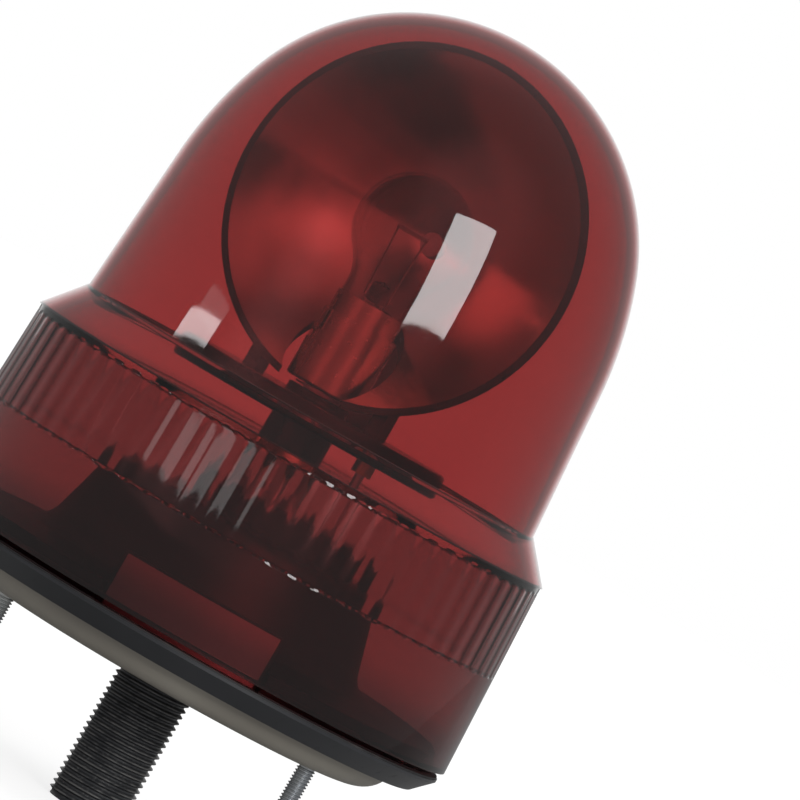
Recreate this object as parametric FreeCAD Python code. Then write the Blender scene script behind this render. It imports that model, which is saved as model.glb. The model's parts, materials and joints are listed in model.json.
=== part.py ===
import FreeCAD, Part
import math
import os
from collections import namedtuple
from FreeCAD import Vector

ScrewSize = namedtuple("ScrewSize", "head_radius head_height shank_radius length")

# Rotating beacon: a red one-piece globe twisted onto a black moulded base.
# A motor in the base spins a turntable with a parabolic mirror round a fixed lamp.
# Millimetres. +Z is up and the front is -Y. The origin is the centre of the mounting
# face, which is the flat underside of the bottom cover.

# ---- overall sizes -------------------------------------------------------------
BEACON_HEIGHT = 147.0          # mounting face to the top of the globe
SKIRT_FOOT_RADIUS = 59.9       # widest radius, at the foot of the globe's skirt
CLEARANCE = 0.3                # air between separate bodies
RUNNING_CLEARANCE = 0.05       # radial clearance of shafts in their bushes
SCREW_CLEARANCE = 0.05         # radial clearance of a screw in its hole
CUT_PAST = 1.0                 # how far a cutting shape reaches past the face it cuts

# ---- screws --------------------------------------------------------------------
SLOT_LENGTH_SHARE = 1.3        # of the head's radius
SLOT_DEPTH_SHARE = 0.5         # of the head's height
SLOT_WIDTH = 0.6

# ---- globe ---------------------------------------------------------------------
GLOBE_WALL = 2.5
CROWN_EASE = 1.44              # how far the ball-shaped top stays inside the straight flanks
FLANK_RADIUS = 83.0            # slower curve between the crown and the straight flank
DOME_DRAFT = 4.28              # degrees
SKIRT_TAPER = 1.1              # how much narrower the skirt is at its top
STEP_WIDTH = 7.0               # of the sloping step between skirt and dome
STEP_HEIGHT = 7.6
SHOULDER_Z = 53.0              # outer corner of the step
FOOT_ROUND = 1.3
DOME_FOOT_ROUND = 1.6
SHOULDER_ROUND = 1.2
INNER_SHOULDER_ROUND = 1.0
INNER_DOME_FOOT_ROUND = 2.0
RIB_COUNT = 72
RIB_HEIGHT = 0.8
RIB_LENGTH = 18.5              # they line only the upper part of the skirt
RIB_TOP_GAP = 1.5              # from the shoulder's corner down to the ribs
RIB_CREST_SHARE = 0.12         # half width of a rib's crest, in rib pitches
RIB_FOOT_SHARE = 0.36          # half width of a rib's foot, in rib pitches

# ---- twist lock between globe and base -----------------------------------------
LOCK_ANGLES = (-30.0, 90.0, 210.0)
LUG_HALF_ANGLE = 4.0
LOCK_TURN = 18.0
LUG_HEIGHT = 1.5
LUG_REACH = 1.1                # how far a lug goes into the base's rim
LUG_LIFT = 2.1                 # underside of a lug above the flange
LUG_ROOT = 0.6                 # how far a lug is rooted in the skirt's wall
LOCK_SLACK = 1.0               # degrees of play at each side of a lug
GLOBE_PLAY = 1.0               # air between the skirt and the base's rim

# ---- base housing --------------------------------------------------------------
BASE_WALL = 2.5
FLANGE_INSET = 0.7             # flange edge inside the skirt's outer face
FLANGE_CHAMFER = 3.7
FLANGE_HEIGHT = 4.3
FLANGE_EDGE = 0.6              # upright edge above the chamfer
REGISTER_HEIGHT = 4.8          # of the rim that the skirt fits round
REGISTER_ROUND = 0.5
REGISTER_WIDTH = 4.0           # level top of the rim
DECK_RISE = 1.4
DRUM_TOP_Z = 35.0
DRUM_TOP_RADIUS = 30.4
DRUM_FOOT_RADIUS = 35.9
DRUM_CORNER = 3.0
DRUM_FLARE = 6.0
DRUM_INNER_CORNER = 1.0
HUMP_TOP_Z = 41.0
HUMP_WALL = 2.0
HUMP_MARGIN = 1.5              # level ground round the spindle's flange
LABEL_PANEL_TOP_Z = 21.2
LABEL_PANEL_INSET = 2.4        # inside the rim's outer face
LABEL_PANEL_THICKNESS = 1.6
LABEL_HALF_ANGLE = 18.0
LABEL_MARGIN_ANGLE = 1.0       # panel beyond each end of the label
LABEL_MARGIN = 0.5             # panel above and below the label
LABEL_THICKNESS = 0.4
LABEL_SEAT = 0.05              # layer of glue behind the label
FRONT_ANGLE = 270.0

# ---- bottom cover, stem and studs ----------------------------------------------
COVER_WALL = 2.2
COVER_FLAT_RADIUS = 44.0
COVER_EDGE_ROUND = 6.8
COVER_TOP_Z = 4.6
GASKET_THICKNESS = 0.3
GASKET_OUTER_INSET = 0.2       # from the outer edge of the cover's rim
GASKET_INNER_INSET = 0.1       # from the inner edge of the cover's rim
SEAL_THICKNESS = 0.4
SEAL_EDGE_INSET = 0.3
BOLT_CIRCLE_INSET = 4.0        # studs and cover screws inside the cover's flat
STEM_RADIUS = 8.33             # G3/8 outside thread
STEM_NECK_RADIUS = 8.0         # inside the cover
THREAD_RELIEF = 0.5            # full thread starts this far below the mounting face
STEM_HOLE_CHAMFER = 0.6        # on the cover's hole, wide enough for the full thread to pass
STEM_BORE_RADIUS = 5.5
STEM_LENGTH = 32.0             # below the mounting face
STEM_INNER_END_Z = 10.4
STEM_BOSS_RADIUS = 12.0
LOCKNUT_ACROSS_FLATS = 24.0
LOCKNUT_HEIGHT = 3.8
STEM_BOSS_TOP_Z = 5.0
STUD_ANGLES = (-30.0, 90.0, 210.0)
COVER_SCREW_ANGLES = (30.0, 150.0, 270.0)
STUD_RADIUS = 2.0
STUD_NECK_RADIUS = 1.75        # where it is moulded into the base
STUD_LENGTH = 18.0             # below the mounting face
STUD_TOP_Z = 11.0
STUD_CHAMFER = 0.5
STUD_HOLE_PLAY = 0.2           # radial, in the cover
STEM_CHAMFER = 0.8
BOSS_RADIUS = 4.5
COVER_BOSS_RADIUS = 3.6
COVER_BOSS_RISE = 1.0          # above the cover's wall
COVER_BOSS_HEIGHT = 1.2        # kept free above the cover's wall
COVER_SCREW = ScrewSize(2.8, 1.3, 1.5, 8.6)
COVER_SCREW_PLAY = 0.2         # radial, in the cover
COVER_SCREW_SEAT_Z = 1.6       # depth of the counterbore in the cover

# ---- spindle, turntable and gears ----------------------------------------------
SPINDLE_RADIUS = 4.0
SPINDLE_BORE_RADIUS = 2.2
SPINDLE_FLANGE_RADIUS = 11.0
SPINDLE_FLANGE_HEIGHT = 2.0
SPINDLE_SHOULDER_RADIUS = 5.6
SPINDLE_SHOULDER_Z = 49.3
SPINDLE_TOP_Z = 66.0
SPINDLE_SCREW = ScrewSize(2.2, 1.4, 1.3, 5.0)
SPINDLE_SCREW_CIRCLE = 8.3
SPINDLE_SCREW_ANGLES = (60.0, 180.0, 300.0)
SPINDLE_FLANGE_ROUND = 0.5
CLIP_GROOVE_DEPTH = 0.5
CLIP_GROOVE_WIDTH = 0.5
CLIP_THICKNESS = 0.4
CLIP_SIDE_PLAY = 0.02
CLIP_BORE_PLAY = 0.05
CLIP_REACH = 2.0               # outside the spindle
CLIP_MOUTH_SHARE = 1.6         # of the spindle's radius
WASHER_HEIGHT = 0.6
WASHER_OVERLAP = 0.8           # outside the spindle's shoulder
HUB_RADIUS = 7.0
HUB_TOP_Z = 65.0
BUSH_WALL = 1.2
TABLE_RADIUS = 30.4
TABLE_TOP_Z = 63.2
TABLE_FOOT_Z = 57.7
TABLE_PLATE = 2.0
TABLE_RIM = 2.0
TABLE_ROUND = 0.9
TABLE_BOSS_RADIUS = 2.4
TABLE_BOSS_LIFT = 0.5          # foot of a boss above the rim's foot
HUB_FOOT_FILLET = 1.0          # where the hub meets the plate from below
HUB_TOP_FILLET = 0.8
HUB_ROUND = 0.4
GEAR_MODULE = 0.5
RING_TEETH = 72
PINION_TEETH = 12
PRESSURE_ANGLE = 20.0
BACKLASH = 0.10
TOOTH_TIP = 0.9                # above the pitch circle, in modules
TOOTH_ROOT = 1.25              # below the pitch circle, in modules
RING_WALL = 1.8
PINION_WIDTH = 3.0
PINION_HUB_RADIUS = 2.2
PINION_HUB_LENGTH = 3.0
REST_TURN = -20.0              # degrees, how far the mirror is turned from the front

# ---- mirror --------------------------------------------------------------------
FOCAL_LENGTH = 15.0
MIRROR_RADIUS = 36.8
MIRROR_LIP = 1.8
MIRROR_LIP_DEPTH = 1.2
MIRROR_WALL = 2.0
LIGHT_CENTRE_Z = 102.6
MIRROR_NOTCH_RADIUS = 10.6
MIRROR_NOTCH_TOP_Z = 90.0
MIRROR_BOSS_RADIUS = 5.0
MIRROR_BOSS_HEIGHT = 1.2
MIRROR_SCREW_HEAD = 2.6        # head radius
MIRROR_SCREW_HEAD_HEIGHT = 1.4
MIRROR_SCREW_RADIUS = 1.5
MIRROR_SCREW_END = 3.6         # behind the bracket
MIRROR_SCREW_SLOT = Vector(3.6, 0.7, 0.6)
MIRROR_NUT_ACROSS_FLATS = 5.5
MIRROR_NUT_HEIGHT = 2.4
FOOT_OFFSET = 15.0
FOOT_WIDTH = 3.0
FOOT_DEPTH = 6.0
FOOT_SET_BACK = 3.0            # behind the mirror's rim
FOOT_TOP_DROP = 22.0           # below the light's centre
BRACKET_WIDTH = 14.0
BRACKET_SHEET = 1.2
BRACKET_TOP_Z = 110.0
BRACKET_FOOT_DEPTH = 8.5
BRACKET_SCREW_SPACING = 9.0
BRACKET_SCREW_SHARE = 0.62     # of the foot's depth, from the upright
BRACKET_SCREW = ScrewSize(2.2, 1.4, 1.3, 5.5)
BRACKET_CORNER = 4.0
GUSSET_HEIGHT = 22.0

# ---- lamp and lamp holder ------------------------------------------------------
CAP_RADIUS = 7.5
CAP_WALL = 0.4
CAP_FOOT_Z = 72.5
CAP_TOP_Z = 86.0
PIN_Z = 77.0
PIN_RADIUS = 1.0
PIN_REACH = 8.4
BULB_RADIUS = 12.5
BULB_NECK_RADIUS = 7.0
BULB_NECK_Z = 88.0
BULB_WALL = 0.6
HOLDER_RADIUS = 8.5
HOLDER_WALL = 0.7
HOLDER_TOP_Z = 81.5
HOLDER_FLOOR = 0.9
HOLDER_FOOT_ROUND = 0.6
HOLDER_ENTRY_ANGLE = 35.0      # from the way in of a pin to its notch
HOLDER_SLOT_TOP_PLAY = 0.2     # above a pin in its notch
PUSH_TRAVEL = 1.2
PUSH_PLAY = 0.1                # left below the contact when the lamp is pushed in
INSULATOR_FLOOR = 1.0
INSULATOR_PLAY = 0.1
INSULATOR_WELL_PLAY = 0.4      # round the contact's head
CONTACT_RADIUS = 3.0
CONTACT_HEAD = 0.8
CONTACT_ROD_RADIUS = 1.5
CONTACT_ROD_LIFT = 0.3         # above the holder's floor
SPRING_WIRE_RADIUS = 0.25
SPRING_TURNS = 3.0
SPRING_END_PLAY = 0.02
CAP_OPENING_INSET = 1.2        # ring of the cap's foot round its insulator
CAP_FOOT_ROUND = 0.8
CAP_INSULATOR_HEIGHT = 2.5
PIN_ROOT = 0.1                 # how far a pin is rooted in the cap's wall
LAMP_CONTACT_RADIUS = 2.2
LAMP_CONTACT_HEIGHT = 0.8
BULB_SINK = 1.5                # how far the bulb's neck goes into the cap
STEM_GLASS_FOOT_RADIUS = 4.5
STEM_GLASS_WAIST_RADIUS = 3.0
STEM_GLASS_WAIST = 8.0         # above the stem's foot
STEM_GLASS_TOP_RADIUS = 2.2
STEM_GLASS_TOP_DROP = 12.0     # below the light's centre
STEM_GLASS_TIP = 1.0
FILAMENT_HALF_LENGTH = 3.2
FILAMENT_RADIUS = 0.55
FILAMENT_WIRE_RADIUS = 0.3
FILAMENT_WIRE_FOOT_OFFSET = 2.6
FILAMENT_WIRE_DROP = 15.0      # below the light's centre

# ---- motor ---------------------------------------------------------------------
MOTOR_RADIUS = 10.0
MOTOR_CAN_WALL = 0.8
MOTOR_FOOT_Z = 14.5
MOTOR_CAP_HEIGHT = 2.5
MOTOR_NOSE_RADIUS = 3.0
MOTOR_NOSE_HEIGHT = 2.3
NOSE_CLEARANCE = 0.1
MOTOR_SCREW = ScrewSize(1.8, 1.2, 1.0, 3.2)
MOTOR_SCREW_OFFSET = 6.5
MOTOR_BUSH_RADIUS = 2.2
MOTOR_CAP_PLAY = 0.1
MOTOR_TAIL_RADIUS = 2.8
MOTOR_TAIL_HEIGHT = 0.8
TERMINAL_TAB = Vector(2.4, 0.5, 6.5)
TERMINAL_TAB_OFFSET = 6.0
TERMINAL_TAB_BELOW = 2.7       # below the end cap
SHAFT_RADIUS = 1.0
SHAFT_FOOT_LIFT = 0.3          # above the end cap's foot
MAGNET_THICKNESS = 1.3
MAGNET_PLAY = 0.05
MAGNET_FOOT = 5.5              # above the can's foot
MAGNET_TOP_GAP = 3.5           # below the can's top
MAGNET_STARTS = (20.0, 200.0)
MAGNET_SPREAD = 140.0
AIR_GAP = 0.4
ARMATURE_TOP_GAP = 5.0         # below the can's top
ARMATURE_FOOT = 1.0            # above the magnets' foot
ARMATURE_SLOT_WIDTH = 1.6
ARMATURE_SLOT_DEPTH = 3.4
ARMATURE_SLOT_ANGLES = (0.0, 120.0, 240.0)
COMMUTATOR_RADIUS = 2.6
COMMUTATOR_LIFT = 0.6          # above the can's foot

# ---- wiring --------------------------------------------------------------------
BLOCK_SIZE = Vector(11.0, 20.0, 8.0)
BLOCK_GAP = 7.5                # locknut's flats to the block, room for its corners and a spanner
POLE_ROWS = (-2.7, 2.7)
POLE_SPACING = 8.0
POLE_WELL_RADIUS = 2.0
POLE_WELL_DEPTH = 2.5
POLE_HOLE_DEPTH = 5.5
TERMINAL_SCREW = ScrewSize(1.9, 1.3, 1.2, 2.8)
LEAD_RADIUS = 0.8
LAMP_LEAD_BEND = 5.0
LAMP_LEAD_RISE_Z = 27.0        # where the lamp's leads turn towards the spindle
LAMP_LEAD_TURN_Z = 28.5
LAMP_LEAD_HALF_GAP = 1.1
LAMP_LEAD_SINK = 1.0           # into the block's top
LAMP_LEAD_TOP_GAP = 0.5        # below the spindle's top
MOTOR_LEAD_BEND = 4.0
MOTOR_LEAD_START = 7.1         # from the motor's axis
MOTOR_LEAD_SIDE = 18.0
MOTOR_LEAD_DROP = 1.7          # below the end cap
MOTOR_LEAD_RISE = 4.0          # above the cover's wall
MOTOR_LEAD_GAP = 0.05          # beside the block

# ---- sizes that follow from the ones above -------------------------------------
SHOULDER_RADIUS = SKIRT_FOOT_RADIUS - SKIRT_TAPER
DOME_FOOT_RADIUS = SHOULDER_RADIUS - STEP_WIDTH
DOME_FOOT_Z = SHOULDER_Z + STEP_HEIGHT
DRAFT_SINE = math.sin(math.radians(DOME_DRAFT))
FLANK_LINE = DOME_FOOT_RADIUS * math.cos(math.radians(DOME_DRAFT)) + DOME_FOOT_Z * DRAFT_SINE
CROWN_RADIUS = (FLANK_LINE - BEACON_HEIGHT * DRAFT_SINE - CROWN_EASE) / (1 - DRAFT_SINE)
BASE_UNDERSIDE_Z = COVER_TOP_Z + GASKET_THICKNESS
FLANGE_TOP_Z = BASE_UNDERSIDE_Z + FLANGE_HEIGHT
SKIRT_FOOT_Z = FLANGE_TOP_Z + SEAL_THICKNESS + CLEARANCE
SKIRT_INNER_RADIUS = SKIRT_FOOT_RADIUS - GLOBE_WALL
REGISTER_RADIUS = SKIRT_INNER_RADIUS - GLOBE_PLAY
FLANGE_RADIUS = SKIRT_FOOT_RADIUS - FLANGE_INSET
FLANGE_FOOT_RADIUS = FLANGE_RADIUS - FLANGE_CHAMFER
DECK_Z = FLANGE_TOP_Z + REGISTER_HEIGHT
DECK_INNER_Z = DECK_Z + DECK_RISE
CAVITY_RADIUS = COVER_FLAT_RADIUS + COVER_EDGE_ROUND - COVER_WALL - 0.6
BOLT_CIRCLE_RADIUS = COVER_FLAT_RADIUS - BOLT_CIRCLE_INSET
LUG_Z = FLANGE_TOP_Z + LUG_LIFT
LUG_TIP_RADIUS = REGISTER_RADIUS - LUG_REACH
LABEL_PANEL_RADIUS = REGISTER_RADIUS - LABEL_PANEL_INSET
RIB_TIP_RADIUS = SHOULDER_RADIUS - GLOBE_WALL - 0.1 - RIB_HEIGHT
RIB_TOP_Z = SHOULDER_Z - RIB_TOP_GAP
RIB_FOOT_Z = RIB_TOP_Z - RIB_LENGTH
GEAR_CENTRES = GEAR_MODULE * (RING_TEETH - PINION_TEETH) / 2.0
MOTOR_TOP_Z = HUMP_TOP_Z - HUMP_WALL
SPINDLE_FOOT_Z = HUMP_TOP_Z
HUB_FOOT_Z = SPINDLE_SHOULDER_Z + WASHER_HEIGHT + CLEARANCE
PLATE_FOOT_Z = TABLE_TOP_Z - TABLE_PLATE
PINION_TOP_Z = PLATE_FOOT_Z - CLEARANCE
HOLDER_FOOT_Z = SPINDLE_TOP_Z
MOTOR_AXIS = Vector(GEAR_CENTRES, 0, 0)
BLOCK_CENTRE = Vector(-(LOCKNUT_ACROSS_FLATS / 2.0 + BLOCK_GAP + BLOCK_SIZE.x / 2.0), 0, COVER_WALL)
UP = Vector(0, 0, 1)
ORIGIN = Vector(0, 0, 0)


# ---- drawing helpers -----------------------------------------------------------
def corner_arc(before, corner, after, radius):
    """Tangent points and middle of the arc that rounds one corner."""
    to_before = (before - corner).normalize()
    to_after = (after - corner).normalize()
    half_angle = to_before.getAngle(to_after) / 2.0
    trim = radius / math.tan(half_angle)
    bisector = (to_before + to_after).normalize()
    middle = corner + bisector * (radius / math.sin(half_angle) - radius)
    return corner + to_before * trim, middle, corner + to_after * trim


def chain(corners):
    """Edges of an open outline of (radius, height, corner rounding) points."""
    points = [Vector(c[0], 0, c[1]) for c in corners]
    edges = []
    here = points[0]
    for index in range(1, len(points)):
        rounding = corners[index][2] if len(corners[index]) > 2 else 0
        if rounding and index < len(points) - 1:
            start, middle, end = corner_arc(
                points[index - 1], points[index], points[index + 1], rounding)
            edges.append(Part.LineSegment(here, start).toShape())
            edges.append(Part.Arc(start, middle, end).toShape())
            here = end
        else:
            edges.append(Part.LineSegment(here, points[index]).toShape())
            here = points[index]
    return edges


def turned(edges):
    """Solid of revolution about Z of a closed outline of edges."""
    wire = Part.Wire(Part.__sortEdges__(edges))
    return Part.Face(wire).revolve(ORIGIN, UP, 360)


def turned_chain(corners):
    """Solid of revolution of a closed outline of rounded corners."""
    return turned(chain(list(corners) + [corners[0][:2]]))


def disc(radius, foot, top, centre=ORIGIN):
    return Part.makeCylinder(radius, top - foot, Vector(centre.x, centre.y, foot), UP)


def ring(inner, outer, foot, top, centre=ORIGIN):
    return disc(outer, foot, top, centre).cut(disc(inner, foot, top, centre))


def sector(inner, outer, foot, top, start, end):
    """Part of a ring between two angles, in degrees."""
    corners = [(inner, foot), (outer, foot), (outer, top), (inner, top), (inner, foot)]
    face = Part.Face(Part.Wire(chain(corners)))
    body = face.revolve(ORIGIN, UP, end - start)
    body.rotate(ORIGIN, UP, start)
    return body


def on_circle(radius, angle):
    return Vector(radius * math.cos(math.radians(angle)),
                  radius * math.sin(math.radians(angle)), 0)


def screw(size, place, down=True):
    """Slotted screw whose head rests at the given place, pointing down or up."""
    sense = -1 if down else 1
    along = Vector(0, 0, sense)
    head = Part.makeCylinder(size.head_radius, size.head_height,
                             place - along * size.head_height, along)
    shank = Part.makeCylinder(size.shank_radius, size.length, place, along)
    body = head.fuse(shank).removeSplitter()
    slot_length = size.head_radius * SLOT_LENGTH_SHARE
    slot_depth = size.head_height * SLOT_DEPTH_SHARE
    slot = Part.makeBox(slot_length, SLOT_WIDTH, slot_depth)
    slot.translate(Vector(-slot_length / 2.0, -SLOT_WIDTH / 2.0, 0))
    top = place.z - sense * size.head_height
    slot.translate(Vector(place.x, place.y, top - (slot_depth if down else 0)))
    return body.cut(slot)


def tube_along(points, radius, bend):
    """Round wire along straight runs joined by tangent arcs."""
    edges = []
    here = points[0]
    for index in range(1, len(points) - 1):
        start, middle, end = corner_arc(
            points[index - 1], points[index], points[index + 1], bend)
        edges.append(Part.LineSegment(here, start).toShape())
        edges.append(Part.Arc(start, middle, end).toShape())
        here = end
    edges.append(Part.LineSegment(here, points[-1]).toShape())
    path = Part.Wire(edges)
    direction = points[1] - points[0]
    profile = Part.Wire(Part.Circle(points[0], direction, radius).toShape())
    return path.makePipeShell([profile], True, False)


def group(solids):
    return Part.makeCompound(solids)


# ---- globe ---------------------------------------------------------------------
def dome_edges(inset):
    """Outer dome outline moved inwards by inset, from the top to the dome's foot."""
    draft = math.radians(DOME_DRAFT)
    crown = CROWN_RADIUS - inset
    flank = FLANK_RADIUS - inset
    crown_z = BEACON_HEIGHT - CROWN_RADIUS
    reach = FLANK_RADIUS - CROWN_RADIUS
    spread = math.acos((FLANK_RADIUS - FLANK_LINE + crown_z * DRAFT_SINE) / reach)
    join = draft + spread

    def on_crown(angle):
        return Vector(crown * math.cos(angle), 0, crown_z + crown * math.sin(angle))

    flank_centre = Vector(-reach * math.cos(join), 0, crown_z - reach * math.sin(join))

    def on_flank(angle):
        return flank_centre + Vector(flank * math.cos(angle), 0, flank * math.sin(angle))

    top = Vector(0, 0, crown_z + crown)
    crown_middle = on_crown((join + math.pi / 2) / 2)
    edges = [Part.Arc(top, crown_middle, on_crown(join)).toShape(),
             Part.Arc(on_crown(join), on_flank((join + draft) / 2), on_flank(draft)).toShape()]
    return top, edges, on_flank(draft)


def globe():
    step = math.atan2(DOME_FOOT_Z - SHOULDER_Z, SHOULDER_RADIUS - DOME_FOOT_RADIUS)
    skirt_lean = math.atan2(SKIRT_FOOT_RADIUS - SHOULDER_RADIUS, SHOULDER_Z - SKIRT_FOOT_Z)

    def inner_corner(radius, height, lean_above, lean_below):
        """Corner of the inner wall, GLOBE_WALL inside both faces that meet there."""
        above = Vector(math.cos(lean_above), 0, math.sin(lean_above))
        below = Vector(math.cos(lean_below), 0, math.sin(lean_below))
        middle = (above + below).normalize()
        shift = GLOBE_WALL / math.cos(above.getAngle(below) / 2.0)
        return (radius - middle.x * shift, height - middle.z * shift)

    dome_lean = math.radians(DOME_DRAFT)
    step_lean = math.pi / 2 - step
    outer_top, outer_dome, outer_join = dome_edges(0)
    inner_top, inner_dome, inner_join = dome_edges(GLOBE_WALL)
    inner_foot = inner_corner(DOME_FOOT_RADIUS, DOME_FOOT_Z, dome_lean, step_lean)
    inner_shoulder = inner_corner(SHOULDER_RADIUS, SHOULDER_Z, step_lean, skirt_lean)
    outer = chain([(outer_join.x, outer_join.z),
                   (DOME_FOOT_RADIUS, DOME_FOOT_Z, DOME_FOOT_ROUND),
                   (SHOULDER_RADIUS, SHOULDER_Z, SHOULDER_ROUND),
                   (SKIRT_FOOT_RADIUS, SKIRT_FOOT_Z, FOOT_ROUND),
                   (SKIRT_INNER_RADIUS, SKIRT_FOOT_Z),
                   inner_shoulder + (INNER_SHOULDER_ROUND,),
                   inner_foot + (INNER_DOME_FOOT_ROUND,),
                   (inner_join.x, inner_join.z)])
    axis = Part.LineSegment(inner_top, outer_top).toShape()
    shell = turned(outer_dome + outer + inner_dome + [axis])
    fluted = fluted_ring()
    body = shell.fuse(fluted)
    for angle in LOCK_ANGLES:
        lug = sector(LUG_TIP_RADIUS, SKIRT_INNER_RADIUS + LUG_ROOT, LUG_Z, LUG_Z + LUG_HEIGHT,
                     angle - LUG_HALF_ANGLE, angle + LUG_HALF_ANGLE)
        body = body.fuse(lug)
    return body.removeSplitter()


def fluted_ring():
    """Band of vertical light-spreading ribs inside the upper part of the skirt."""
    root = RIB_TIP_RADIUS + RIB_HEIGHT
    pitch = 2 * math.pi / RIB_COUNT
    points = []
    for number in range(RIB_COUNT):
        centre = number * pitch
        for offset, radius in ((-RIB_FOOT_SHARE, root), (-RIB_CREST_SHARE, RIB_TIP_RADIUS),
                               (RIB_CREST_SHARE, RIB_TIP_RADIUS), (RIB_FOOT_SHARE, root)):
            angle = centre + offset * pitch
            points.append(Vector(radius * math.cos(angle), radius * math.sin(angle), RIB_FOOT_Z))
    points.append(points[0])
    hole = Part.Face(Part.makePolygon(points)).extrude(Vector(0, 0, RIB_TOP_Z - RIB_FOOT_Z))
    band = disc(SHOULDER_RADIUS - GLOBE_WALL / 2.0, RIB_FOOT_Z, RIB_TOP_Z)
    return band.cut(hole)


def globe_seal():
    return ring(REGISTER_RADIUS + CLEARANCE, FLANGE_RADIUS - SEAL_EDGE_INSET, FLANGE_TOP_Z,
                FLANGE_TOP_Z + SEAL_THICKNESS)


# ---- base ----------------------------------------------------------------------
def hump(inset, foot, top):
    """Pear-shaped rise over the spindle foot and the motor."""
    spindle_side = SPINDLE_FLANGE_RADIUS + HUMP_MARGIN - inset
    motor_side = MOTOR_RADIUS + HUMP_WALL + CLEARANCE - inset
    tilt = math.asin((spindle_side - motor_side) / GEAR_CENTRES)
    upper = Vector(math.sin(tilt), math.cos(tilt), 0)
    lower = Vector(math.sin(tilt), -math.cos(tilt), 0)
    lift = Vector(0, 0, foot)
    here = lift
    there = lift + MOTOR_AXIS
    edges = [Part.LineSegment(here + upper * spindle_side, there + upper * motor_side).toShape(),
             Part.Arc(there + upper * motor_side, there + Vector(motor_side, 0, 0),
                      there + lower * motor_side).toShape(),
             Part.LineSegment(there + lower * motor_side, here + lower * spindle_side).toShape(),
             Part.Arc(here + lower * spindle_side, here - Vector(spindle_side, 0, 0),
                      here + upper * spindle_side).toShape()]
    return Part.Face(Part.Wire(edges)).extrude(Vector(0, 0, top - foot))


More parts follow.
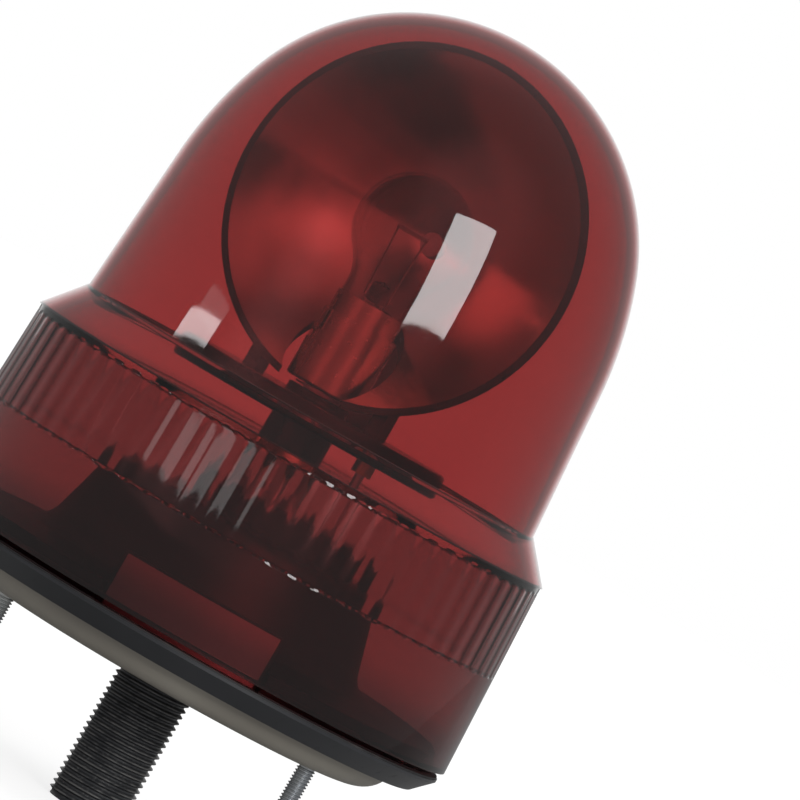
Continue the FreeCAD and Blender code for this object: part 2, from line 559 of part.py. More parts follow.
def base_housing():
    drum_lean = (DRUM_FOOT_RADIUS - DRUM_TOP_RADIUS) / (DRUM_TOP_Z - DECK_INNER_Z)
    outside = turned_chain([
        (0, BASE_UNDERSIDE_Z),
        (FLANGE_FOOT_RADIUS, BASE_UNDERSIDE_Z),
        (FLANGE_RADIUS, FLANGE_TOP_Z - FLANGE_EDGE),
        (FLANGE_RADIUS, FLANGE_TOP_Z),
        (REGISTER_RADIUS, FLANGE_TOP_Z),
        (REGISTER_RADIUS, DECK_Z, REGISTER_ROUND),
        (REGISTER_RADIUS - REGISTER_WIDTH, DECK_Z),
        (DRUM_FOOT_RADIUS, DECK_INNER_Z, DRUM_FLARE),
        (DRUM_TOP_RADIUS, DRUM_TOP_Z, DRUM_CORNER),
        (0, DRUM_TOP_Z)])
    deck_inside = DECK_Z - BASE_WALL
    inner_top_radius = DRUM_TOP_RADIUS - BASE_WALL + drum_lean * BASE_WALL
    inner_foot_radius = DRUM_FOOT_RADIUS - BASE_WALL + drum_lean * BASE_WALL
    inside = turned_chain([
        (0, BASE_UNDERSIDE_Z),
        (CAVITY_RADIUS, BASE_UNDERSIDE_Z),
        (CAVITY_RADIUS, deck_inside),
        (inner_foot_radius, DECK_INNER_Z - BASE_WALL, DRUM_FLARE),
        (inner_top_radius, DRUM_TOP_Z - BASE_WALL, DRUM_INNER_CORNER),
        (0, DRUM_TOP_Z - BASE_WALL)])
    panel_half_angle = LABEL_HALF_ANGLE + LABEL_MARGIN_ANGLE
    body = outside.fuse(hump(0, DRUM_TOP_Z - BASE_WALL, HUMP_TOP_Z))
    body = body.fuse(sector(LABEL_PANEL_RADIUS - LABEL_PANEL_THICKNESS, LABEL_PANEL_RADIUS,
                            DECK_Z - CUT_PAST, LABEL_PANEL_TOP_Z,
                            FRONT_ANGLE - panel_half_angle, FRONT_ANGLE + panel_half_angle))
    body = body.cut(inside)
    body = body.cut(hump(HUMP_WALL, DRUM_TOP_Z - BASE_WALL - CUT_PAST, MOTOR_TOP_Z))
    body = body.cut(sector(LABEL_PANEL_RADIUS, REGISTER_RADIUS + CUT_PAST, FLANGE_TOP_Z,
                           DECK_Z + CUT_PAST, FRONT_ANGLE - panel_half_angle,
                           FRONT_ANGLE + panel_half_angle))
    boss_foot = COVER_WALL + CLEARANCE
    for angle in STUD_ANGLES + COVER_SCREW_ANGLES:
        centre = on_circle(BOLT_CIRCLE_RADIUS, angle)
        foot = boss_foot if angle in STUD_ANGLES else boss_foot + COVER_BOSS_HEIGHT
        pillar = disc(BOSS_RADIUS, foot, DRUM_TOP_Z, centre)
        above_deck = disc(BOSS_RADIUS, BASE_UNDERSIDE_Z, DRUM_TOP_Z, centre).cut(outside)
        body = body.fuse(pillar.cut(above_deck))
    for angle in STUD_ANGLES:
        centre = on_circle(BOLT_CIRCLE_RADIUS, angle)
        body = body.cut(disc(STUD_NECK_RADIUS + SCREW_CLEARANCE, boss_foot, STUD_TOP_Z, centre))
    for angle in COVER_SCREW_ANGLES:
        centre = on_circle(BOLT_CIRCLE_RADIUS, angle)
        body = body.cut(disc(COVER_SCREW.shank_radius + SCREW_CLEARANCE, boss_foot, STUD_TOP_Z,
                             centre))
    groove_z = LUG_Z - CLEARANCE
    groove_top = LUG_Z + LUG_HEIGHT + CLEARANCE
    for angle in LOCK_ANGLES:
        start = angle - LUG_HALF_ANGLE - LOCK_SLACK
        end = angle + LOCK_TURN + LUG_HALF_ANGLE + LOCK_SLACK
        groove = sector(LUG_TIP_RADIUS - CLEARANCE, REGISTER_RADIUS + CUT_PAST, groove_z,
                        groove_top, start, end)
        entry = sector(LUG_TIP_RADIUS - CLEARANCE, REGISTER_RADIUS + CUT_PAST, groove_z,
                       DECK_Z + CUT_PAST, end - 2 * (LUG_HALF_ANGLE + LOCK_SLACK), end)
        body = body.cut(groove).cut(entry)
    below = MOTOR_TOP_Z - CUT_PAST
    body = body.cut(disc(SPINDLE_BORE_RADIUS, below, HUMP_TOP_Z))
    body = body.cut(disc(MOTOR_NOSE_RADIUS + NOSE_CLEARANCE, below, HUMP_TOP_Z, MOTOR_AXIS))
    for place in motor_screw_places():
        body = body.cut(disc(MOTOR_SCREW.shank_radius + SCREW_CLEARANCE, below, HUMP_TOP_Z, place))
    for place in spindle_screw_places():
        body = body.cut(disc(SPINDLE_SCREW.shank_radius + SCREW_CLEARANCE, below, HUMP_TOP_Z,
                             place))
    return body.removeSplitter()


def rating_plate():
    inner = LABEL_PANEL_RADIUS + LABEL_SEAT
    return sector(inner, inner + LABEL_THICKNESS,
                  FLANGE_TOP_Z + LABEL_MARGIN, LABEL_PANEL_TOP_Z - LABEL_MARGIN,
                  FRONT_ANGLE - LABEL_HALF_ANGLE, FRONT_ANGLE + LABEL_HALF_ANGLE)


def bottom_cover():
    arc_z = COVER_EDGE_ROUND
    inner_round = COVER_EDGE_ROUND - COVER_WALL

    def on_edge(radius, height):
        return Vector(COVER_FLAT_RADIUS + math.sqrt(radius ** 2 - (arc_z - height) ** 2), 0, height)

    def edge_arc(radius, foot_z):
        start = Vector(COVER_FLAT_RADIUS, 0, foot_z)
        middle = on_edge(radius, foot_z + (COVER_TOP_Z - foot_z) * 0.4)
        return Part.Arc(start, middle, on_edge(radius, COVER_TOP_Z)).toShape()

    outer_end = on_edge(COVER_EDGE_ROUND, COVER_TOP_Z)
    inner_end = on_edge(inner_round, COVER_TOP_Z)
    edges = [Part.LineSegment(ORIGIN, Vector(COVER_FLAT_RADIUS, 0, 0)).toShape(),
             edge_arc(COVER_EDGE_ROUND, 0),
             Part.LineSegment(outer_end, inner_end).toShape(),
             edge_arc(inner_round, COVER_WALL),
             Part.LineSegment(Vector(COVER_FLAT_RADIUS, 0, COVER_WALL),
                              Vector(0, 0, COVER_WALL)).toShape(),
             Part.LineSegment(Vector(0, 0, COVER_WALL), ORIGIN).toShape()]
    body = turned(edges).fuse(disc(STEM_BOSS_RADIUS, 0, STEM_BOSS_TOP_Z))
    boss_top = COVER_WALL + COVER_BOSS_RISE
    for angle in COVER_SCREW_ANGLES:
        centre = on_circle(BOLT_CIRCLE_RADIUS, angle)
        body = body.fuse(disc(COVER_BOSS_RADIUS, 0, boss_top, centre))
        body = body.cut(disc(COVER_SCREW.shank_radius + COVER_SCREW_PLAY, 0, boss_top, centre))
        body = body.cut(disc(COVER_SCREW.head_radius + COVER_SCREW_PLAY, 0, COVER_SCREW_SEAT_Z,
                             centre))
    for angle in STUD_ANGLES:
        centre = on_circle(BOLT_CIRCLE_RADIUS, angle)
        body = body.cut(disc(STUD_RADIUS + STUD_HOLE_PLAY, 0, boss_top, centre))
    hole_radius = STEM_NECK_RADIUS + SCREW_CLEARANCE
    body = body.cut(disc(hole_radius, 0, STEM_BOSS_TOP_Z))
    mouth = Part.makeCone(hole_radius + STEM_HOLE_CHAMFER, hole_radius, STEM_HOLE_CHAMFER)
    return body.cut(mouth).removeSplitter()


def cover_gasket():
    inner_round = COVER_EDGE_ROUND - COVER_WALL
    depth = COVER_EDGE_ROUND - COVER_TOP_Z
    outer = COVER_FLAT_RADIUS + math.sqrt(COVER_EDGE_ROUND ** 2 - depth ** 2)
    inner = COVER_FLAT_RADIUS + math.sqrt(inner_round ** 2 - depth ** 2)
    return ring(inner + GASKET_INNER_INSET, outer - GASKET_OUTER_INSET, COVER_TOP_Z,
                BASE_UNDERSIDE_Z)


def mounting_studs():
    studs = []
    for angle in STUD_ANGLES:
        stud = turned_chain([(0, -STUD_LENGTH), (STUD_RADIUS - STUD_CHAMFER, -STUD_LENGTH),
                             (STUD_RADIUS, -STUD_LENGTH + STUD_CHAMFER),
                             (STUD_RADIUS, -THREAD_RELIEF), (STUD_NECK_RADIUS, -THREAD_RELIEF),
                             (STUD_NECK_RADIUS, STUD_TOP_Z), (0, STUD_TOP_Z)])
        stud.translate(on_circle(BOLT_CIRCLE_RADIUS, angle))
        studs.append(stud)
    return group(studs)


def cover_screws():
    places = [on_circle(BOLT_CIRCLE_RADIUS, angle) + Vector(0, 0, COVER_SCREW_SEAT_Z)
              for angle in COVER_SCREW_ANGLES]
    return group([screw(COVER_SCREW, place, down=False) for place in places])


def cable_stem():
    return turned_chain([
        (STEM_BORE_RADIUS, -STEM_LENGTH),
        (STEM_RADIUS - STEM_CHAMFER, -STEM_LENGTH),
        (STEM_RADIUS, -STEM_LENGTH + STEM_CHAMFER),
        (STEM_RADIUS, -THREAD_RELIEF),
        (STEM_NECK_RADIUS, -THREAD_RELIEF),
        (STEM_NECK_RADIUS, STEM_INNER_END_Z),
        (STEM_BORE_RADIUS, STEM_INNER_END_Z)])


def stem_locknut():
    circumradius = LOCKNUT_ACROSS_FLATS / math.sqrt(3)
    corners = [on_circle(circumradius, 60 * number) for number in range(7)]
    hexagon = Part.Face(Part.makePolygon(corners)).extrude(Vector(0, 0, LOCKNUT_HEIGHT))
    hexagon.translate(Vector(0, 0, STEM_BOSS_TOP_Z))
    return hexagon.cut(disc(STEM_NECK_RADIUS + SCREW_CLEARANCE, STEM_BOSS_TOP_Z,
                            STEM_BOSS_TOP_Z + LOCKNUT_HEIGHT))


# ---- spindle and turntable -----------------------------------------------------
def spindle_screw_places():
    return [on_circle(SPINDLE_SCREW_CIRCLE, angle) for angle in SPINDLE_SCREW_ANGLES]


def spindle():
    body = turned_chain([
        (SPINDLE_BORE_RADIUS, SPINDLE_FOOT_Z),
        (SPINDLE_FLANGE_RADIUS, SPINDLE_FOOT_Z),
        (SPINDLE_FLANGE_RADIUS, SPINDLE_FOOT_Z + SPINDLE_FLANGE_HEIGHT, SPINDLE_FLANGE_ROUND),
        (SPINDLE_SHOULDER_RADIUS, SPINDLE_FOOT_Z + SPINDLE_FLANGE_HEIGHT),
        (SPINDLE_SHOULDER_RADIUS, SPINDLE_SHOULDER_Z),
        (SPINDLE_RADIUS, SPINDLE_SHOULDER_Z),
        (SPINDLE_RADIUS, SPINDLE_TOP_Z),
        (SPINDLE_BORE_RADIUS, SPINDLE_TOP_Z)])
    for place in spindle_screw_places():
        body = body.cut(disc(SPINDLE_SCREW.shank_radius + SCREW_CLEARANCE, SPINDLE_FOOT_Z,
                             SPINDLE_FOOT_Z + SPINDLE_FLANGE_HEIGHT, place))
    groove_z = HUB_TOP_Z + CLEARANCE
    return body.cut(ring(SPINDLE_RADIUS - CLIP_GROOVE_DEPTH, SPINDLE_RADIUS + CUT_PAST, groove_z,
                         groove_z + CLIP_GROOVE_WIDTH))


def spindle_screws():
    top = SPINDLE_FOOT_Z + SPINDLE_FLANGE_HEIGHT
    return group([screw(SPINDLE_SCREW, place + Vector(0, 0, top))
                  for place in spindle_screw_places()])


def thrust_washer():
    return ring(SPINDLE_RADIUS + RUNNING_CLEARANCE, SPINDLE_SHOULDER_RADIUS + WASHER_OVERLAP,
                SPINDLE_SHOULDER_Z, SPINDLE_SHOULDER_Z + WASHER_HEIGHT)


def retaining_ring():
    groove_z = HUB_TOP_Z + CLEARANCE
    foot = groove_z + CLIP_SIDE_PLAY
    clip = ring(SPINDLE_RADIUS - CLIP_GROOVE_DEPTH + CLIP_BORE_PLAY, SPINDLE_RADIUS + CLIP_REACH,
                foot, foot + CLIP_THICKNESS)
    mouth_width = SPINDLE_RADIUS * CLIP_MOUTH_SHARE
    mouth = Part.makeBox(SPINDLE_RADIUS * 2, mouth_width, CLIP_GROOVE_WIDTH)
    mouth.translate(Vector(0, -mouth_width / 2.0, groove_z))
    return clip.cut(mouth)


def involute(base_radius, radius):
    """Polar angle of the involute where it reaches a radius."""
    if radius <= base_radius:
        return 0.0
    roll = math.sqrt((radius / base_radius) ** 2 - 1)
    return roll - math.atan(roll)


def gear_outline(teeth, tip, root, width_change, height):
    """Closed tooth outline; width_change widens each tooth along the pitch circle."""
    pitch_radius = GEAR_MODULE * teeth / 2.0
    base_radius = pitch_radius * math.cos(math.radians(PRESSURE_ANGLE))
    half_tooth = (math.pi * GEAR_MODULE / 2.0 + width_change) / 2.0 / pitch_radius
    at_pitch = involute(base_radius, pitch_radius)
    radii = [root, max(root, base_radius), pitch_radius, tip]
    flank = [(r, half_tooth + at_pitch - involute(base_radius, r)) for r in radii]
    points = []
    for tooth in range(teeth):
        centre = 2 * math.pi * tooth / teeth
        left = [(r, centre - angle) for r, angle in flank]
        right = [(r, centre + angle) for r, angle in reversed(flank)]
        points += [Vector(r * math.cos(a), r * math.sin(a), height) for r, a in left + right]
    kept = [p for number, p in enumerate(points) if p.distanceToPoint(points[number - 1]) > 1e-6]
    return kept + [kept[0]]


def ring_gear():
    """Inner-toothed band under the turntable; a gap lies on +X where the pinion meshes."""
    pitch_radius = GEAR_MODULE * RING_TEETH / 2.0
    tip = pitch_radius + TOOTH_ROOT * GEAR_MODULE
    root = pitch_radius - TOOTH_TIP * GEAR_MODULE
    foot = TABLE_FOOT_Z + CLEARANCE
    spaces = gear_outline(RING_TEETH, tip, root, BACKLASH, foot)
    hole = Part.Face(Part.makePolygon(spaces)).extrude(Vector(0, 0, PLATE_FOOT_Z))
    band = disc(tip + RING_WALL, foot, PLATE_FOOT_Z)
    return band.cut(hole)


def turntable():
    body = turned_chain([
        (SPINDLE_RADIUS + RUNNING_CLEARANCE + BUSH_WALL, HUB_FOOT_Z),
        (HUB_RADIUS, HUB_FOOT_Z, HUB_ROUND),
        (HUB_RADIUS, PLATE_FOOT_Z, HUB_FOOT_FILLET),
        (TABLE_RADIUS - TABLE_RIM, PLATE_FOOT_Z),
        (TABLE_RADIUS - TABLE_RIM, TABLE_FOOT_Z),
        (TABLE_RADIUS, TABLE_FOOT_Z, TABLE_ROUND),
        (TABLE_RADIUS, TABLE_TOP_Z, TABLE_ROUND),
        (HUB_RADIUS, TABLE_TOP_Z, HUB_TOP_FILLET),
        (HUB_RADIUS, HUB_TOP_Z, HUB_ROUND),
        (SPINDLE_RADIUS + RUNNING_CLEARANCE + BUSH_WALL, HUB_TOP_Z)])
    for place in bracket_screw_places():
        body = body.fuse(disc(TABLE_BOSS_RADIUS, TABLE_FOOT_Z + TABLE_BOSS_LIFT,
                              PLATE_FOOT_Z + TABLE_PLATE / 4.0, place))
    body = body.fuse(ring_gear()).removeSplitter()
    for place in bracket_screw_places():
        body = body.cut(disc(BRACKET_SCREW.shank_radius + SCREW_CLEARANCE, TABLE_FOOT_Z,
                             TABLE_TOP_Z, place))
    return body


def hub_bush():
    inner = SPINDLE_RADIUS + RUNNING_CLEARANCE
    return ring(inner, inner + BUSH_WALL, HUB_FOOT_Z, HUB_TOP_Z)


# ---- mirror --------------------------------------------------------------------
def bowl(shift, radius):
    """Solid inside a paraboloid that opens to -Y, its vertex moved back by shift."""
    vertex = Vector(0, FOCAL_LENGTH + shift, LIGHT_CENTRE_Z)
    depth = radius ** 2 / (4 * FOCAL_LENGTH)
    rim = vertex + Vector(radius, -depth, 0)
    curve = Part.BezierCurve()
    curve.setPoles([vertex, vertex + Vector(radius / 2.0, 0, 0), rim])
    rim_centre = vertex + Vector(0, -depth, 0)
    edges = [curve.toShape(), Part.LineSegment(rim, rim_centre).toShape(),
             Part.LineSegment(rim_centre, vertex).toShape()]
    return Part.Face(Part.Wire(edges)).revolve(vertex, Vector(0, 1, 0), 360)


def rim_y():
    return FOCAL_LENGTH - MIRROR_RADIUS ** 2 / (4 * FOCAL_LENGTH)


def along_y(radius, start, end, x=0.0, z=LIGHT_CENTRE_Z):
    return Part.makeCylinder(radius, end - start, Vector(x, start, z), Vector(0, 1, 0))


def reflector():
    outer_radius = math.sqrt(4 * FOCAL_LENGTH * (FOCAL_LENGTH + MIRROR_WALL - rim_y()))
    outer = bowl(MIRROR_WALL, outer_radius)
    inner = bowl(0, MIRROR_RADIUS)
    lip = along_y(MIRROR_RADIUS + MIRROR_LIP, rim_y(), rim_y() + MIRROR_LIP_DEPTH)
    boss = along_y(MIRROR_BOSS_RADIUS, FOCAL_LENGTH, FOCAL_LENGTH + MIRROR_WALL + MIRROR_BOSS_HEIGHT)
    body = outer.fuse(lip).fuse(boss)
    foot_top = LIGHT_CENTRE_Z - FOOT_TOP_DROP
    for side in (-1, 1):
        foot = Part.makeBox(FOOT_WIDTH, FOOT_DEPTH, foot_top - TABLE_TOP_Z)
        foot.translate(Vector(side * FOOT_OFFSET - FOOT_WIDTH / 2.0, rim_y() + FOOT_SET_BACK,
                              TABLE_TOP_Z))
        body = body.fuse(foot)
    body = body.cut(inner)
    body = body.cut(disc(MIRROR_NOTCH_RADIUS, TABLE_TOP_Z, MIRROR_NOTCH_TOP_Z))
    body = body.cut(along_y(MIRROR_SCREW_RADIUS + SCREW_CLEARANCE, FOCAL_LENGTH - 2 * CUT_PAST,
                            FOCAL_LENGTH + MIRROR_WALL + MIRROR_BOSS_HEIGHT))
    return at_rest_turn(body.removeSplitter())


def at_rest_turn(shape):
    turned_shape = shape.copy()
    turned_shape.rotate(ORIGIN, UP, REST_TURN)
    return turned_shape


def bracket_face_y():
    return FOCAL_LENGTH + MIRROR_WALL + MIRROR_BOSS_HEIGHT


def bracket_screw_places():
    y = bracket_face_y() + BRACKET_FOOT_DEPTH * BRACKET_SCREW_SHARE
    places = [Vector(side * BRACKET_SCREW_SPACING / 2.0, y, 0) for side in (-1, 1)]
    matrix = FreeCAD.Rotation(UP, REST_TURN)
    return [matrix.multVec(place) for place in places]


def reflector_bracket():
    y = bracket_face_y()
    upright = Part.makeBox(BRACKET_WIDTH, BRACKET_SHEET, BRACKET_TOP_Z - TABLE_TOP_Z)
    upright.translate(Vector(-BRACKET_WIDTH / 2.0, y, TABLE_TOP_Z))
    foot = Part.makeBox(BRACKET_WIDTH, BRACKET_FOOT_DEPTH, BRACKET_SHEET)
    foot.translate(Vector(-BRACKET_WIDTH / 2.0, y, TABLE_TOP_Z))
    corners = [Vector(0, y, TABLE_TOP_Z), Vector(0, y + BRACKET_FOOT_DEPTH, TABLE_TOP_Z),
               Vector(0, y, TABLE_TOP_Z + GUSSET_HEIGHT), Vector(0, y, TABLE_TOP_Z)]
    gusset = Part.Face(Part.makePolygon(corners)).extrude(Vector(BRACKET_SHEET, 0, 0))
    gusset.translate(Vector(-BRACKET_SHEET / 2.0, 0, 0))
    body = upright.fuse(foot).fuse(gusset)
    top_edges = [edge for edge in body.Edges
                 if abs(edge.BoundBox.ZMax - BRACKET_TOP_Z) < 1e-6
                 and edge.BoundBox.YLength > BRACKET_SHEET / 2.0
                 and edge.BoundBox.XLength < 1e-6]
    body = body.makeFillet(BRACKET_CORNER, top_edges)
    body = body.cut(along_y(MIRROR_SCREW_RADIUS + SCREW_CLEARANCE, y - CUT_PAST,
                            y + BRACKET_SHEET + CUT_PAST))
    body = at_rest_turn(body.removeSplitter())
    for place in bracket_screw_places():
        body = body.cut(disc(BRACKET_SCREW.shank_radius + SCREW_CLEARANCE, TABLE_TOP_Z,
                             TABLE_TOP_Z + BRACKET_SHEET + CUT_PAST, place))
    return body


def bracket_screws():
    top = TABLE_TOP_Z + BRACKET_SHEET
    return group([screw(BRACKET_SCREW, place + Vector(0, 0, top))
                  for place in bracket_screw_places()])


def mirror_screw():
    y = bracket_face_y() + BRACKET_SHEET
    seat = FOCAL_LENGTH - MIRROR_SCREW_HEAD ** 2 / (4 * FOCAL_LENGTH)
    head_face = seat - MIRROR_SCREW_HEAD_HEIGHT
    head = along_y(MIRROR_SCREW_HEAD, head_face, seat)
    shank = along_y(MIRROR_SCREW_RADIUS, seat, y + MIRROR_SCREW_END)
    slot = Part.makeBox(MIRROR_SCREW_SLOT.x, MIRROR_SCREW_SLOT.y, MIRROR_SCREW_SLOT.z)
    slot.translate(Vector(-MIRROR_SCREW_SLOT.x / 2.0, head_face,
                          LIGHT_CENTRE_Z - MIRROR_SCREW_SLOT.z / 2.0))
    return at_rest_turn(head.fuse(shank).removeSplitter().cut(slot))


def mirror_nut():
    y = bracket_face_y() + BRACKET_SHEET
    corners = [on_circle(MIRROR_NUT_ACROSS_FLATS / math.sqrt(3), 60 * number)
               for number in range(7)]
    nut = Part.Face(Part.makePolygon(corners)).extrude(Vector(0, 0, MIRROR_NUT_HEIGHT))
    nut.rotate(ORIGIN, Vector(1, 0, 0), -90)
    nut.translate(Vector(0, y, LIGHT_CENTRE_Z))
    hole = along_y(MIRROR_SCREW_RADIUS + SCREW_CLEARANCE, y - CUT_PAST,
                   y + MIRROR_NUT_HEIGHT + CUT_PAST)
    return at_rest_turn(nut.cut(hole))


# ---- lamp holder and lamp ------------------------------------------------------
def lamp_holder():
    inner = HOLDER_RADIUS - HOLDER_WALL
    body = turned_chain([
        (SPINDLE_BORE_RADIUS, HOLDER_FOOT_Z),
        (HOLDER_RADIUS, HOLDER_FOOT_Z, HOLDER_FOOT_ROUND),
        (HOLDER_RADIUS, HOLDER_TOP_Z),
        (inner, HOLDER_TOP_Z),
        (inner, HOLDER_FOOT_Z + HOLDER_FLOOR),
        (SPINDLE_BORE_RADIUS, HOLDER_FOOT_Z + HOLDER_FLOOR)])
    channel_foot = PIN_Z - PIN_RADIUS - PUSH_TRAVEL - CLEARANCE
    channel_top = PIN_Z
    half_slot = math.degrees((PIN_RADIUS + CLEARANCE) / HOLDER_RADIUS)
    near = inner - CUT_PAST / 2.0
    far = HOLDER_RADIUS + CUT_PAST / 2.0
    for side in (0, 180):
        entry = side + HOLDER_ENTRY_ANGLE
        notch = sector(near, far, channel_foot, PIN_Z + PIN_RADIUS + HOLDER_SLOT_TOP_PLAY,
                       side - half_slot, side + half_slot)
        channel = sector(near, far, channel_foot, channel_top, side, entry)
        way_in = sector(near, far, channel_foot, HOLDER_TOP_Z + CUT_PAST / 2.0,
                        entry - half_slot, entry + half_slot)
        body = body.cut(notch).cut(channel).cut(way_in)
    return body


def contact_foot_z():
    return CAP_FOOT_Z - CONTACT_HEAD - LAMP_CONTACT_HEIGHT


def holder_insulator():
    foot = HOLDER_FOOT_Z + HOLDER_FLOOR
    top = contact_foot_z() - PUSH_TRAVEL - PUSH_PLAY
    outer = HOLDER_RADIUS - HOLDER_WALL - INSULATOR_PLAY
    body = disc(outer, foot, top)
    body = body.cut(disc(CONTACT_RADIUS + INSULATOR_WELL_PLAY, foot + INSULATOR_FLOOR, top))
    return body.cut(disc(CONTACT_ROD_RADIUS + RUNNING_CLEARANCE, foot, top))


def holder_contact():
    head_foot = contact_foot_z()
    rod_foot = HOLDER_FOOT_Z + HOLDER_FLOOR + CONTACT_ROD_LIFT
    head = disc(CONTACT_RADIUS, head_foot, head_foot + CONTACT_HEAD)
    return head.fuse(disc(CONTACT_ROD_RADIUS, rod_foot, head_foot)).removeSplitter()


def contact_spring():
    """Open turns between the insulator and the contact's head."""
    end_gap = SPRING_WIRE_RADIUS + SPRING_END_PLAY
    foot = HOLDER_FOOT_Z + HOLDER_FLOOR + INSULATOR_FLOOR + end_gap
    height = contact_foot_z() - end_gap - foot
    coil_radius = (CONTACT_RADIUS + CONTACT_ROD_RADIUS) / 2.0 + SPRING_WIRE_RADIUS
    helix = Part.makeHelix(height / SPRING_TURNS, height, coil_radius)
    helix.translate(Vector(0, 0, foot))
    start = Vector(coil_radius, 0, foot)
    corners = [start + Vector(SPRING_WIRE_RADIUS * math.cos(math.radians(angle)), 0,
                              SPRING_WIRE_RADIUS * math.sin(math.radians(angle)))
               for angle in range(0, 361, 60)]
    profile = Part.makePolygon(corners)
    return Part.Wire(helix.Edges).makePipeShell([profile], True, True)


def lamp_cap():
    inner = CAP_RADIUS - CAP_WALL
    body = turned_chain([
        (CAP_RADIUS - CAP_OPENING_INSET, CAP_FOOT_Z),
        (CAP_RADIUS, CAP_FOOT_Z, CAP_FOOT_ROUND),
        (CAP_RADIUS, CAP_TOP_Z),
        (inner, CAP_TOP_Z),
        (inner, CAP_FOOT_Z + CAP_WALL),
        (CAP_RADIUS - CAP_OPENING_INSET, CAP_FOOT_Z + CAP_WALL)])
    for sense in (-1, 1):
        pin = Part.makeCylinder(PIN_RADIUS, PIN_REACH - inner + PIN_ROOT,
                                Vector(sense * (inner - PIN_ROOT), 0, PIN_Z),
                                Vector(sense, 0, 0))
        body = body.fuse(pin)
    return body.removeSplitter()


def cap_insulator():
    top = CAP_FOOT_Z + CAP_INSULATOR_HEIGHT
    body = disc(CAP_RADIUS - CAP_OPENING_INSET, CAP_FOOT_Z, CAP_FOOT_Z + CAP_WALL)
    return body.fuse(disc(CAP_RADIUS - CAP_WALL, CAP_FOOT_Z + CAP_WALL, top)).removeSplitter()


def lamp_contact():
    return disc(LAMP_CONTACT_RADIUS, CAP_FOOT_Z - LAMP_CONTACT_HEIGHT, CAP_FOOT_Z)


def bulb_outline(inset):
    """Pear-shaped bulb: straight neck, hollow curve, ball."""
    ball = BULB_RADIUS - inset
    neck = BULB_NECK_RADIUS - inset
    rise = LIGHT_CENTRE_Z - BULB_NECK_Z
    hollow = (BULB_NECK_RADIUS ** 2 + rise ** 2 - BULB_RADIUS ** 2) / (
        2 * (BULB_RADIUS - BULB_NECK_RADIUS))
    hollow_centre = Vector(BULB_NECK_RADIUS + hollow, 0, BULB_NECK_Z)
    ball_centre = Vector(0, 0, LIGHT_CENTRE_Z)
    towards = (hollow_centre - ball_centre).normalize()
    join = ball_centre + towards * ball
    start = Vector(neck, 0, BULB_NECK_Z)
    middle_direction = (start - hollow_centre).normalize() + (join - hollow_centre).normalize()
    hollow_middle = hollow_centre + middle_direction.normalize() * (hollow + inset)
    ball_middle = ball_centre + Vector(ball, 0, 0)
    top = Vector(0, 0, LIGHT_CENTRE_Z + ball)
    foot = Vector(neck, 0, CAP_TOP_Z - BULB_SINK)
    edges = [Part.LineSegment(foot, start).toShape(),
             Part.Arc(start, hollow_middle, join).toShape(),
             Part.Arc(join, ball_middle, top).toShape()]
    return foot, edges, top


def lamp_bulb():
    outer_foot, outer, outer_top = bulb_outline(0)
    inner_foot, inner, inner_top = bulb_outline(BULB_WALL)
    return turned(outer + inner + [Part.LineSegment(outer_top, inner_top).toShape(),
                                   Part.LineSegment(outer_foot, inner_foot).toShape()])


def lamp_stem():
    foot = CAP_FOOT_Z + CAP_INSULATOR_HEIGHT
    top = LIGHT_CENTRE_Z - STEM_GLASS_TOP_DROP
    return turned_chain([
        (0, foot),
        (STEM_GLASS_FOOT_RADIUS, foot),
        (STEM_GLASS_WAIST_RADIUS, foot + STEM_GLASS_WAIST),
        (STEM_GLASS_TOP_RADIUS, top),
        (0, top + STEM_GLASS_TIP)])


def lamp_filament():
    """Coiled filament drawn as its envelope, on two support wires."""
    body = Part.makeCylinder(FILAMENT_RADIUS, 2 * FILAMENT_HALF_LENGTH,
                             Vector(-FILAMENT_HALF_LENGTH, 0, LIGHT_CENTRE_Z), Vector(1, 0, 0))
    for side in (-1, 1):
        top = Vector(side * FILAMENT_HALF_LENGTH, 0, LIGHT_CENTRE_Z)
        foot = Vector(side * FILAMENT_WIRE_FOOT_OFFSET, 0, LIGHT_CENTRE_Z - FILAMENT_WIRE_DROP)
        along = top - foot
        body = body.fuse(Part.makeCylinder(FILAMENT_WIRE_RADIUS, along.Length, foot, along))
    return body.removeSplitter().cut(lamp_stem())


# ---- motor ---------------------------------------------------------------------
def motor_screw_places():
    return [MOTOR_AXIS + Vector(0, side * MOTOR_SCREW_OFFSET, 0) for side in (-1, 1)]


def motor_can():
    body = disc(MOTOR_RADIUS, MOTOR_FOOT_Z, MOTOR_TOP_Z, MOTOR_AXIS)
    body = body.cut(disc(MOTOR_RADIUS - MOTOR_CAN_WALL, MOTOR_FOOT_Z,
                         MOTOR_TOP_Z - MOTOR_CAN_WALL, MOTOR_AXIS))
    top = MOTOR_TOP_Z + MOTOR_NOSE_HEIGHT
    body = body.fuse(disc(MOTOR_NOSE_RADIUS, MOTOR_TOP_Z - MOTOR_CAN_WALL, top, MOTOR_AXIS))
    body = body.cut(disc(MOTOR_BUSH_RADIUS, MOTOR_TOP_Z - MOTOR_CAN_WALL, top, MOTOR_AXIS))
    for place in motor_screw_places():
        body = body.cut(disc(MOTOR_SCREW.shank_radius + SCREW_CLEARANCE, MOTOR_TOP_Z - CUT_PAST,
                             MOTOR_TOP_Z, place))
    return body.removeSplitter()


def motor_bush():
    top = MOTOR_TOP_Z + MOTOR_NOSE_HEIGHT
    return ring(SHAFT_RADIUS + RUNNING_CLEARANCE, MOTOR_BUSH_RADIUS,
                MOTOR_TOP_Z - MOTOR_CAN_WALL, top, MOTOR_AXIS)


